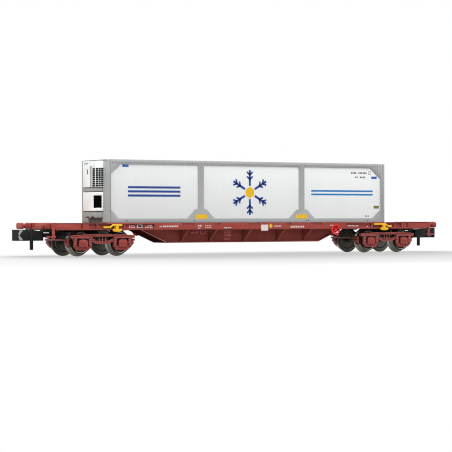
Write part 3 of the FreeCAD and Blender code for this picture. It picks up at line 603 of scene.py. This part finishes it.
def girder_edges():
    """A painted highlight along the edge of the girder's flange, on one slope of each side."""
    line = [slope_head, slope_foot]
    outline = line + [(x, z - slope_highlight) for x, z in reversed(line)]
    for name, side in SIDES:
        form = Form()
        form.prism(outline, lambda u, v, d: (side * u, side * (flange_reach - 0.05 + d), v), 0.08)
        form.made("girder_edge_" + name, "flatcar", "car_frame", flange_highlight)


def deck_edges():
    """Painted shade: a darker copy of the red-brown along the deck plate's edge at the top of each sill, at
    both ends.
    """
    face, top = box_mm("side_sill_far")[1].yz
    start, stop = deck_edge_span
    for name, side in SIDES:
        form = Form()
        for _, way in ENDS:
            form.box((way * start, side * (face - 0.05), top - deck_edge_height),
                     (way * stop, side * (face + mark_rise), top))
        form.made("deck_edge_" + name, "flatcar", "car_frame", deck_edge_shade)


def handwheels():
    """A round rim on thin spokes about a hub, for each bracket."""
    low, high = box_mm("handwheels")
    sill_face = box_mm("side_sill_far")[1].y
    radius = (high.z - low.z) / 2
    for x, side in ((low.x + radius, 1), (high.x - radius, -1)):
        form = Form()
        z = low.z + radius
        middle = side * (sill_face + wheel_stand)
        ring = radius - wheel_rim

        def at(angle, r, y=middle):
            return (x + r * math.sin(angle), y, z + r * math.cos(angle))

        loops = []
        for i in range(48):
            angle = 2 * math.pi * i / 48
            loops.append([at(angle, ring + wheel_rim * math.cos(t), middle + wheel_rim * math.sin(t) * 0.8)
                          for t in (2 * math.pi * k / 10 for k in range(10))])
        form.rings(loops, closed=True)
        for i in range(wheel_spokes):
            angle = 2 * math.pi * i / wheel_spokes
            form.tube([at(angle, 0.2), at(angle, ring)], 0.13, 8)
        form.tube([(x, side * (sill_face - 0.3), z), (x, side * (sill_face + 0.42), z)], 0.32, 16)
        form.box((x - 0.6, side * (sill_face - 0.8), z - 0.6),
                 (x + 0.6, side * (sill_face - 0.02), z + 0.3))
        name = "handwheel_far_left" if side > 0 else "handwheel_near_right"
        form.made(name, "flatcar", "handwheels", signal_red, 0.03, ["handwheels"])


def draught_keels():
    """The dark castings under the girder's shallow stretch and under the couplers' boxes."""
    outline = [(33.2, 7.3), (34.2, 6.5), (38.2, 6.3), (38.9, 6.7), (38.9, 7.3)]
    form = Form()
    for _, way in ENDS:
        form.prism(outline, lambda u, v, d: (way * u, d - keel_width / 2, v), keel_width)
        form.box((way * 47.0, -1.3, 5.6), (way * 50.9, 1.3, 6.12))
    form.made("draught_keels", "flatcar", "bogie_centre", black_plastic, 0.08)


def brake_pipes():
    """A pipe with its valve, cock and bracket between two ribs, and a small hand lever."""
    lever = [(-2.7, 6.75), (-2.4, 7.15), (-1.3, 7.35), (-0.7, 6.5), (-1.1, 6.45), (-1.5, 6.9),
             (-2.4, 6.7)]
    for name, side in SIDES:
        form = Form()

        def at(x, z, out=0.0):
            return (-side * x, side * (pipe_reach + out), z)

        form.tube([at(-19.4, 6.3), at(-17.8, 6.2), at(-15.2, 6.15), at(-12.4, 6.3)], 0.13)
        form.tube([at(-18.8, 5.75), at(-17.9, 5.75)], 0.3, 16)
        form.tube([at(-17.4, 6.2), at(-17.4, 5.45)], 0.16)
        form.box(at(-17.25, 5.75, -0.25), at(-16.75, 6.25, 0.25))
        form.box(at(-16.0, 5.4, -0.12), at(-14.4, 5.62, 0.12))
        for x in (-15.9, -14.5):
            form.box(at(x - 0.12, 5.4, -0.12), at(x + 0.12, 6.7, 0.12))
        form.prism(lever, lambda u, v, d: at(u, v, 0.1 + d), 0.18)
        form.tube([at(-1.0, 6.9, 0.2), at(-1.0, 5.5, 0.2)], 0.12)
        form.made("brake_pipes_" + name, "flatcar", "car_frame", red_brown, 0.03)


def dashes(form, place, x0, x1, z0, z1, count):
    """A row of plain upright dashes."""
    pitch = (x1 - x0) / count
    for i in range(count):
        start = x0 + i * pitch
        put(form, place, start, start + pitch * 0.62, z0, z1)


def sill_marks():
    """Plain pale dashes, an empty label holder, a blank plate and a warning diamond on each sill."""
    face = box_mm("side_sill_far")[1].y
    for name, side in SIDES:
        flush = on_side(side, face)
        sunk = on_side(side, face - sill_recess)
        pale = Form()
        for mark in recess_marks:
            dashes(pale, sunk, *mark)
        for mark in face_marks:
            dashes(pale, flush, *mark)
        put(pale, sunk, -34.9, -33.35, 7.1, 8.0)
        pale.made("sill_marks_" + name, "flatcar", "car_frame", mark_white)
        dark = Form()
        put(dark, on_side(side, face - sill_recess + mark_rise), side * 34.65, side * 33.6, 7.28, 7.84)
        dark.made("label_holder_" + name, "flatcar", "car_frame", plate_black)
        plate = Form()
        outline = [(side * -x, z) for x, z in ((2.35, 6.25), (4.55, 6.25), (4.55, 7.85), (2.35, 7.85))]
        plate.prism(outline, flush, plate_rise)
        plate.made("blank_plate_" + name, "flatcar", "car_frame", mark_white, 0.03)
        sign = Form()
        x, z = diamond_middle
        outline = [(side * -(x + u), z + v) for u, v in ((0, -0.68), (0.6, 0), (0, 0.68), (-0.6, 0))]
        sign.prism(outline, flush, mark_rise)
        sign.made("yellow_diamond_" + name, "flatcar", "car_frame", plate_yellow)


# ------------------------------------------------------------------ bogies
def on_axle(form, name, body, slot, finishes, middle, node):
    """A turned piece about the axle through middle, which stands for that node."""
    piece = form.made(name, body, slot, finishes)
    piece.parent = None
    piece.location = Vector((middle.x, 0, middle.z)) * mm
    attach(piece, body)
    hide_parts(node)


def wheel_set(end, place):
    """Blackened tyres with a paler metal on the bevel as a painted highlight, round a dished disc, on a
    plain axle.
    """
    which = "%s_%s" % (end, place)
    low, high = box_mm("wheels_" + which)
    middle = (low + high) / 2
    flange = (high.z - low.z) / 2
    front = high.y
    back = wheel_back
    tread = tread_radius
    root = back + 0.55
    disc = front - disc_dish
    dark, bright, wear_and_highlight, black = 0, 1, 2, 3
    profile = [(back, 0.7, dark), (back, 2.2, dark), (back + 0.12, 2.32, dark),
               (back + 0.02, 2.45, dark), (back, flange - 0.3, dark), (back + 0.04, flange - 0.12, dark),
               (back + 0.12, flange - 0.03, dark), (back + 0.2, flange, wear_and_highlight),
               (back + 0.29, flange - 0.05, wear_and_highlight), (back + 0.36, flange - 0.16, wear_and_highlight),
               (root - 0.08, tread + 0.1, wear_and_highlight), (root + 0.02, tread + 0.02, wear_and_highlight),
               (root + 0.12, tread, wear_and_highlight), (front - 0.1, tread - tread_taper, black),
               (front, tread - tread_taper - 0.1, black), (front, rim_inner + ring_width, bright),
               (front - 0.05, rim_inner, black), (front - 0.3, rim_inner - 0.06, dark),
               (disc, rim_inner - 0.3, dark), (disc - 0.05, 1.7, dark), (disc, hub_radius + 0.15, dark),
               (disc + hub_reach, hub_radius, dark), (disc + hub_reach, 0.3, dark)]
    for name, side in SIDES:
        form = Form()
        form.lathe([(side * y, r, f) for y, r, f in profile])
        on_axle(form, "wheel_%s_%s" % (which, name), "wheelset_" + which, "wheels",
                [black_metal, rim_highlight_metal, tread_metal, rim_black], middle, "wheels_" + which)
    reach = box_mm("axle_" + which)[1].y
    half = [(2.2, 0.48), (2.6, 0.56), (front - 0.8, 0.56), (reach - 0.15, 0.5), (reach, 0.3)]
    form = Form()
    form.lathe([(-y, r, 0) for y, r in reversed(half)] + [(y, r, 0) for y, r in half], 32)
    on_axle(form, "axle_shaft_" + which, "wheelset_" + which, "axles", black_metal, middle,
            "axle_" + which)


def springs(end):
    """The coils' windings round the moulded springs."""
    reach = side_frame_back + spring_inset
    steps = spring_turns * spring_steps
    form = Form()
    for place in PLACES:
        axle_x = middle_mm("wheels_%s_%s" % (end, place)).x
        for x in (axle_x - spring_offset, axle_x + spring_offset):
            for side in (-1, 1):
                path = []
                for i in range(steps + 1):
                    angle = 2 * math.pi * spring_turns * i / steps
                    path.append((x + spring_radius * math.sin(angle),
                                 side * (reach + spring_radius * math.cos(angle)),
                                 spring_foot + (spring_head - spring_foot) * i / steps))
                form.tube(path, spring_wire, 6)
    form.made("spring_windings_" + end, "bogie_" + end, "bogies", bogie_brown)


def axlebox_caps(end):
    """A round cap and four bolts on each axlebox."""
    face = box_mm("bogie_sides_" + end)[1].y
    form = Form()
    for place in PLACES:
        x = middle_mm("wheels_%s_%s" % (end, place)).x
        for side in (-1, 1):
            form.tube([(x, side * (face - 0.1), boss_level), (x, side * (face + boss_rise), boss_level)],
                      boss_radius, 24)
            form.dome((x, side * (face + boss_rise), boss_level), (0, side, 0), boss_radius * 0.7, 0.06, 16)
            for dx in bolt_columns:
                for dz in bolt_rows:
                    form.dome((x + dx, side * face, boss_level + dz), (0, side, 0), bolt_radius, 0.1)
    form.made("axlebox_caps_" + end, "bogie_" + end, "bogies", bogie_brown, 0.03)


def bogies():
    for end, _ in ENDS:
        softened("bogie_sides_" + end, 0.06, bogie_brown)
        softened("bogie_centre_" + end, 0.05, black_plastic)
        softened("brake_gear_" + end, 0.08, bogie_brown)
        springs(end)
        axlebox_caps(end)
        for place in PLACES:
            wheel_set(end, place)


# ------------------------------------------------------------------ couplers
def head_faces(end, way):
    """Painted highlights on the slopes of the head's wedge on one cheek, and painted shade on the head's
    flat face.
    """
    low, high = box_mm("coupler_head_" + end)
    tip = max(abs(low.x), abs(high.x))
    cheek = high.y
    form = Form()
    for turn in (-1, 1):
        outline = [(tip - 0.35, head_level), (tip - 1.3, head_level + turn * wedge_half),
                   (tip - 0.4, head_level + turn * wedge_half), (tip - 0.05, head_level + turn * 0.25)]
        form.prism(outline, lambda u, v, d: (way * u, way * (cheek + d - 0.05), v), 0.08)
    form.made("wedge_faces_" + end, body_of("coupler_head_" + end), "couplers", wedge_highlight)
    form = Form()
    form.box((way * (tip - 0.05), 0.1 - cheek, head_level - face_half),
             (way * (tip + 0.01), cheek - 0.1, head_level + face_half))
    form.made("coupler_face_" + end, body_of("coupler_head_" + end), "couplers", coupler_face_shade)


def couplers():
    for end, way in ENDS:
        softened("drawbar_" + end, 0.07, black_plastic)
        softened("coupler_head_" + end, 0.12, black_plastic)
        head_faces(end, way)


# ------------------------------------------------------------------ container
def container_shell():
    for side, _ in SIDES:
        softened("container_frame_" + side, 0.05, container_grey)
        softened("container_wall_" + side, 0.02, panel_white)
        softened("door_leaf_" + side, 0.06, panel_white)
    softened("container_front_frame", 0.12, front_grey)
    softened("container_rear_frame", 0.22, container_grey)
    softened("container_roof", 0.03, container_grey)
    softened("container_floor", 0.03, container_grey)


def rivets():
    """Rows of rivets along both top rails and up the right posts."""
    low, high = box_mm("container_frame_near")
    reach = box_mm("container_frame_far")[1].y
    z = high.z - rivet_drop
    count = int((high.x - low.x - 2 * rivet_start) / rivet_pitch)
    form = Form()
    for _, side in SIDES:
        face, out = side * reach, (0, side, 0)
        for i in range(count + 1):
            form.dome((low.x + rivet_start + i * rivet_pitch, face, z), out, rivet_radius, rivet_rise)
        for i in range(int((z - low.z - 1) / rivet_pitch)):
            form.dome((high.x - post_inset, face, z - (i + 1) * rivet_pitch), out,
                      rivet_radius * 0.75, rivet_rise)
    form.made("frame_rivets", "container", "container_frame", rivet_dark)


def on_side(side, face):
    """Places a decal's (along, up) on that side, so that the far side is the near one turned half round."""
    return lambda u, v, d: (-side * u, side * (face + d), v)


def put(form, place, u0, u1, v0, v1):
    """A thin rectangle of print."""
    u0, u1 = sorted((u0, u1))
    form.prism([(u0, v0), (u1, v0), (u1, v1), (u0, v1)], place, decal_rise)


def snowflake(form, place, u, v, arm, width):
    """A plain six-armed flake: arms with two pairs of barbs."""
    for k in range(6):
        angle = math.pi / 2 + k * math.pi / 3
        ahead = Vector((math.cos(angle), math.sin(angle)))
        across = Vector((-ahead.y, ahead.x))

        def bar(start, end, half):
            along = (end - start).normalized()
            aside = Vector((-along.y, along.x)) * half
            outline = [start - aside, end - aside, end + aside, start + aside]
            form.prism([(u + p.x, v + p.y) for p in outline], place, decal_rise)

        bar(ahead * arm * 0.3, ahead * arm, width / 2)
        for share in (0.58, 0.78):
            for turn in (-1, 1):
                root = ahead * arm * share
                tip = root + (ahead * 0.75 + across * turn * 0.8) * arm * 0.19
                bar(root, tip, width * 0.38)


def patches(name, finish, *rectangles):
    """Plain rectangles of one colour, each as its place and its sides, in one piece."""
    form = Form()
    for place, sides in rectangles:
        put(form, place, *sides)
    form.made(name, "container", "container_panel", finish)


def decals():
    """Print and thin plates on both sides: stripes, a snowflake and blank plates."""
    wall = box_mm("container_wall_far")[1].y
    frame_face = box_mm("container_frame_far")[1].y
    x0, z0 = flake_middle
    for name, side in SIDES:
        place = on_side(side, wall)
        outside = on_side(side, frame_face)
        blue = Form()
        for k in range(3):
            z = 15.1 + 1.05 * k
            put(blue, place, -37.4, -22.0, z, z + 0.55)
        snowflake(blue, place, x0, z0, flake_arm, flake_width)
        blue.made("blue_print_" + name, "container", "container_panel", stripe_blue)
        patches("light_blue_stripes_" + name, stripe_light,
                (place, (18.9, 39.4, 16.7, 17.15)), (place, (18.9, 39.4, 15.75, 16.2)))
        flake = Form()
        flake.prism([(x0 + hexagon_radius * math.cos(math.pi / 6 + k * math.pi / 3),
                      z0 + hexagon_radius * math.sin(math.pi / 6 + k * math.pi / 3)) for k in range(6)],
                    place, decal_rise)
        for x in (-15.87, 15.5):
            put(flake, outside, x - 1.7, x + 1.7, 9.44, 10.56)
        flake.made("yellow_plates_" + name, "container", "container_panel", plate_yellow)
        patches("small_blue_plates_" + name, plate_blue,
                (place, (-39.0, -37.2, 22.6, 23.2)), (place, (38.95, 40.8, 20.35, 20.98)))
        patches("small_dark_plate_" + name, plate_black, (place, (39.75, 41.5, 12.22, 12.92)))
        patches("small_yellow_stripe_" + name, plate_olive,
                (on_side(side, wall + decal_rise), (39.9, 41.35, 12.42, 12.74)))
        small = Form()
        for mark in panel_marks:
            dashes(small, place, *mark)
        for sides in panel_box:
            put(small, place, *sides)
        small.made("small_grey_marks_" + name, "container", "container_panel", mark_dark)
        bolts = Form()
        for x in (-37.9, -18.1, 17.1, 17.85, 37.4):
            bolts.dome((-side * x, side * frame_face, bottom_bolt_level), (0, side, 0), 0.17, 0.08, 12)
        bolts.made("bottom_rail_bolts_" + name, "container", "container_frame", mark_dark)


# ------------------------------------------------------------------ doors
def lock_rods():
    """Round lock rods on keepers, each with a flat handle and its catch."""
    low, high = box_mm("lock_rods")
    leaf_low, leaf_high = box_mm("door_leaf_far")
    x = high.x - rod_radius
    height = high.z - low.z
    form = Form()
    for side in (-1, 1):
        for y, reach in ((leaf_low.y + rod_inset, rod_inset), (leaf_high.y - rod_inset, -rod_inset)):
            form.tube([(x, side * y, low.z), (x, side * y, high.z)], rod_radius, 16)
            for share in keeper_places:
                z = low.z + share * height
                form.box((leaf_high.x, side * y - 0.42, z - 0.22), (x + 0.1, side * y + 0.42, z + 0.22))
            z = low.z + handle_place * height
            form.box((x - 0.1, side * y, z - 0.12), (x + 0.1, side * (y + reach), z + 0.14))
            form.box((leaf_high.x, side * (y + reach * 0.8) - 0.2, z - 0.3),
                     (x - 0.05, side * (y + reach * 0.8) + 0.2, z + 0.3))
    form.made("round_lock_rods", "container", "lock_rods", rod_grey, 0.03, ["lock_rods"])


def door_seals():
    """Black seals round both leaves, and hinges at their outer edges."""
    low, high = box_mm("door_leaf_far")
    seal = Form()
    hinges = Form()
    face = high.x
    for side in (-1, 1):
        for y in (low.y, high.y - seal_width):
            seal.box((face - 0.1, side * y, low.z), (face + 0.04, side * (y + seal_width), high.z))
        for z in (low.z, high.z - seal_width):
            seal.box((face - 0.1, side * low.y, z), (face + 0.04, side * high.y, z + seal_width))
        for share in hinge_places:
            z = low.z + share * (high.z - low.z)
            y = side * (high.y + 0.1)
            hinges.tube([(face + 0.12, y, z - 0.4), (face + 0.12, y, z + 0.4)], 0.17, 12)
            hinges.box((face - 0.02, y, z - 0.16), (face + 0.1, y - side * 1.1, z + 0.16))
    seal.made("door_seals", "container", "container_panel", gasket_black, 0.02)
    hinges.made("door_hinges", "container", "lock_rods", rod_grey, 0.02)


# ------------------------------------------------------------------ refrigeration unit
def refrigeration_unit():
    softened("unit_base", 0.12, unit_base_grey)
    softened("unit_band", 0.1, unit_grey)
    softened("unit_lower_housing", 0.14, unit_white)
    softened("unit_upper_housing", 0.05, unit_white)
    softened("unit_window", 0.02, pane_black)
    softened("unit_core", 0.02, inside_black)


def grille_edging():
    """Black edging in the grille's holes: three columns on each slanted side and one on the front."""
    low, high = box_mm("unit_upper_housing")
    dx, dy = high.x - low.x, high.y - unit_front_half
    run = math.hypot(dx, dy)
    pitch = (grille_top - grille_bottom) / grille_rows
    wide, tall = grille_dark
    form = Form()
    for row in range(grille_rows):
        z = grille_bottom + (row + 0.5) * pitch - tall / 2
        for side in (-1, 1):

            def at(along, out):
                return (low.x + (along * dx - out * dy) / run,
                        side * (unit_front_half + (along * dy + out * dx) / run))

            for column in range(grille_columns):
                s = (column + grille_start) * run / grille_columns
                start, stop = s - wide / 2, min(s + wide / 2, run)
                outline = [at(start, decal_rise), at(stop, decal_rise), at(stop, -0.05), at(start, -0.05)]
                form.prism(outline, lambda u, v, d: (u, v, z + d), tall)
        form.box((low.x - decal_rise, grille_front[0], z), (low.x + 0.05, grille_front[1], z + tall))
    form.made("unit_grille_edging", "container", "unit_dark", inside_black)


def unit_gap_shade():
    """Painted shade in the joints above and below the unit's band and on top of its base."""
    low, high = box_mm("unit_upper_housing")
    band_low, band_high = box_mm("unit_band")
    base_top = box_mm("unit_base")[1].z
    out = (low.x - band_low.x) * 0.3
    x, wide = low.x - out, high.y + out
    outline = [(high.x, -wide), (high.x, wide), (x, unit_front_half + out), (x, -unit_front_half - out)]
    form = Form()
    for z0, z1 in ((band_high.z - 0.16, band_high.z - 0.02), (band_low.z + 0.02, band_low.z + 0.16),
                   (base_top - 0.12, base_top)):
        form.prism(outline, lambda u, v, d: (u, v, z0 + d), z1 - z0)
    form.made("unit_gap_shade", "container", "unit_dark", gasket_black)


def grille_shade():
    """Dark blocks behind the grille's holes, on both sides of the upright groove."""
    low, high = box_mm("unit_upper_housing")
    skin = low.x + shade_inset
    form = Form()
    for side, x, y in ((-1, skin, -1.85), (1, low.x + 0.6, 3.0)):
        outline = [(high.x, side * (high.y - shade_inset)),
                   (skin, side * (unit_front_half - shade_inset * 0.8)), (x, y), (high.x, y)]
        form.prism(outline, lambda u, v, d: (u, v, grille_bottom + d), grille_top - grille_bottom)
    form.made("unit_grille_shade", "container", "unit_dark", inside_black)


def unit_fittings():
    """Latches, a row of plain dashes and an upright strip on the unit's front."""
    x = box_mm("unit_upper_housing")[0].x
    latches = Form()
    for z in (21.75, 21.3, 20.9):
        latches.box((x - 0.1, 0.64, z), (x + 0.05, 1.04, z + 0.3))
    for i in range(4):
        latches.box((x - decal_rise, 0.6 + i * 0.56, 23.38), (x + 0.05, 0.95 + i * 0.56, 23.62))
    latches.made("unit_latches", "container", "unit_dark", gasket_black, 0.02)
    strips = Form()
    strips.box((x - 0.06, -1.0, grille_bottom), (x + 0.05, -0.62, 22.9))
    strips.made("unit_upright_strip", "container", "unit_trim", unit_grey, 0.03)


def front_trim():
    """A cool grey sheet of painted shade on the front frame under the unit, and a gutter above it."""
    low, high = box_mm("container_front_frame")
    sill = Form()
    sill.box((low.x - 0.03, -3.7, low.z + 0.05), (low.x + 0.05, 3.7, box_mm("unit_base")[0].z + 0.35))
    sill.made("front_sill_shade", "container", "container_frame", sill_shade)
    gutter = Form()
    x = box_mm("unit_upper_housing")[1].x
    gutter.box((x - 0.05, -6.0, high.z - 0.22), (x + 0.02, 6.0, high.z - 0.03))
    gutter.made("roof_gutter", "container", "unit_dark", gasket_black, 0.02)


# ------------------------------------------------------------------ studio
def seen_or_mirrored(nodes, links):
    """1 for what the camera sees itself, in gloss or through glass, and 0 for plain light."""
    path = nodes.new("ShaderNodeLightPath")
    value = path.outputs["Is Camera Ray"]
    for ray in ("Is Glossy Ray", "Is Transmission Ray"):
        either = nodes.new("ShaderNodeMath")
        either.operation = "MAXIMUM"
        links.new(value, either.inputs[0])
        links.new(path.outputs[ray], either.inputs[1])
        value = either.outputs[0]
    return value


def raised(nodes, links, socket, power):
    made = nodes.new("ShaderNodeMath")
    made.operation = "POWER"
    made.inputs[1].default_value = power
    links.new(socket, made.inputs[0])
    return made.outputs[0]


def blended(nodes, links, factor, first, second):
    """From the first shader at 0 to the second at 1."""
    mix = nodes.new("ShaderNodeMixShader")
    for place, socket in enumerate((factor, first, second)):
        links.new(socket, mix.inputs[place])
    return mix.outputs[0]


def floor():
    """A white floor that glows to the camera, with a painted shadow: it darkens only where the car keeps
    the white surroundings from it.
    """
    mesh = bpy.data.meshes.new("studio_floor")
    corners = [(-1, -1), (1, -1), (1, 1), (-1, 1)]
    mesh.from_pydata([(x * floor_reach, y * floor_reach, 0) for x, y in corners], [], [(0, 1, 2, 3)])
    plane = bpy.data.objects.new("studio_floor", mesh)
    bpy.context.scene.collection.objects.link(plane)
    material = bpy.data.materials.new("studio_white")
    material.use_nodes = True
    mesh.materials.append(material)
    nodes, links = material.node_tree.nodes, material.node_tree.links
    nodes.clear()
    output = nodes.new("ShaderNodeOutputMaterial")
    plain = nodes.new("ShaderNodeBsdfDiffuse")
    plain.inputs["Color"].default_value = (floor_shade, floor_shade, floor_shade, 1)
    leaning = nodes.new("ShaderNodeCombineXYZ")
    leaning.inputs["Y"].default_value = shadow_lean
    leaning.inputs["Z"].default_value = 1.0
    open_sky = nodes.new("ShaderNodeAmbientOcclusion")
    open_sky.samples = 32
    open_sky.inputs["Distance"].default_value = shadow_reach
    links.new(leaning.outputs[0], open_sky.inputs["Normal"])
    sky = open_sky.outputs["AO"]
    lifted = nodes.new("ShaderNodeMapRange")
    lifted.inputs["To Min"].default_value = shadow_level
    links.new(raised(nodes, links, sky, shadow_depth), lifted.inputs["Value"])
    glow = nodes.new("ShaderNodeEmission")
    links.new(lifted.outputs[0], glow.inputs["Color"])
    # Gloss sees the floor white, with a deeper painted shadow.
    mirrored = nodes.new("ShaderNodeEmission")
    links.new(raised(nodes, links, sky, mirror_depth), mirrored.inputs["Color"])
    unseen = blended(nodes, links, seen_or_mirrored(nodes, links), plain.outputs[0], mirrored.outputs[0])
    seen = nodes.new("ShaderNodeLightPath").outputs["Is Camera Ray"]
    links.new(blended(nodes, links, seen, unseen, glow.outputs[0]), output.inputs["Surface"])


def backdrop():
    """Plain white to the camera, and a dim white light to everything else."""
    world = bpy.data.worlds.new("studio")
    bpy.context.scene.world = world
    world.use_nodes = True
    nodes, links = world.node_tree.nodes, world.node_tree.links
    nodes.clear()
    output = nodes.new("ShaderNodeOutputWorld")
    levels = []
    for strength in (surround_level, 1.0):
        light = nodes.new("ShaderNodeBackground")
        light.inputs["Strength"].default_value = strength
        light.inputs["Color"].default_value = (1, 1, 1, 1)
        levels.append(light.outputs[0])
    mixed = blended(nodes, links, seen_or_mirrored(nodes, links), *levels)
    links.new(mixed, output.inputs["Surface"])


def lamp(name, place, size, watts):
    """A round lamp that looks at the car's middle."""
    data = bpy.data.lights.new(name, "AREA")
    data.shape = "DISK"
    data.size = size
    data.energy = watts
    light = bpy.data.objects.new(name, data)
    bpy.context.scene.collection.objects.link(light)
    light.location = place
    light.rotation_euler = (Vector(lamp_aim) - Vector(place)).to_track_quat("-Z", "Y").to_euler()


def camera():
    """Low and to the left of the car, with a long lens."""
    yaw, pitch, roll = (math.radians(angle) for angle in camera_turn)
    data = bpy.data.cameras.new("camera")
    data.lens = camera_lens
    data.sensor_width = camera_film
    data.clip_start = 0.01
    data.clip_end = 200
    view = bpy.data.objects.new("camera", data)
    bpy.context.scene.collection.objects.link(view)
    turn = (Matrix.Rotation(-yaw, 3, "Z") @ Matrix.Rotation(math.pi / 2 + pitch, 3, "X")
            @ Matrix.Rotation(roll, 3, "Z"))
    view.location = camera_place
    view.rotation_euler = turn.to_euler()
    bpy.context.scene.camera = view


car_frame()
draught_keels()
girder_edges()
deck_edges()
brake_pipes()
sill_marks()
handwheels()
bogies()
couplers()
container_shell()
rivets()
decals()
lock_rods()
door_seals()
refrigeration_unit()
grille_edging()
unit_gap_shade()
grille_shade()
unit_fittings()
front_trim()
floor()
backdrop()
lamp("key", (-0.06, -0.45, 0.5), 0.5, 3.75)
lamp("left", (-0.5, 0.0, 0.5), 0.5, 4.6)
lamp("back", (0.0, 0.45, 0.6), 0.6, 1.6)
lamp("right", (0.5, 0.05, 0.4), 0.5, 1.8)
lamp("front", (0.0, -0.7, 0.15), 0.5, 0.5)
camera()
bpy.context.scene.view_settings.view_transform = "Standard"
bpy.context.scene.cycles.filter_width = 1.1
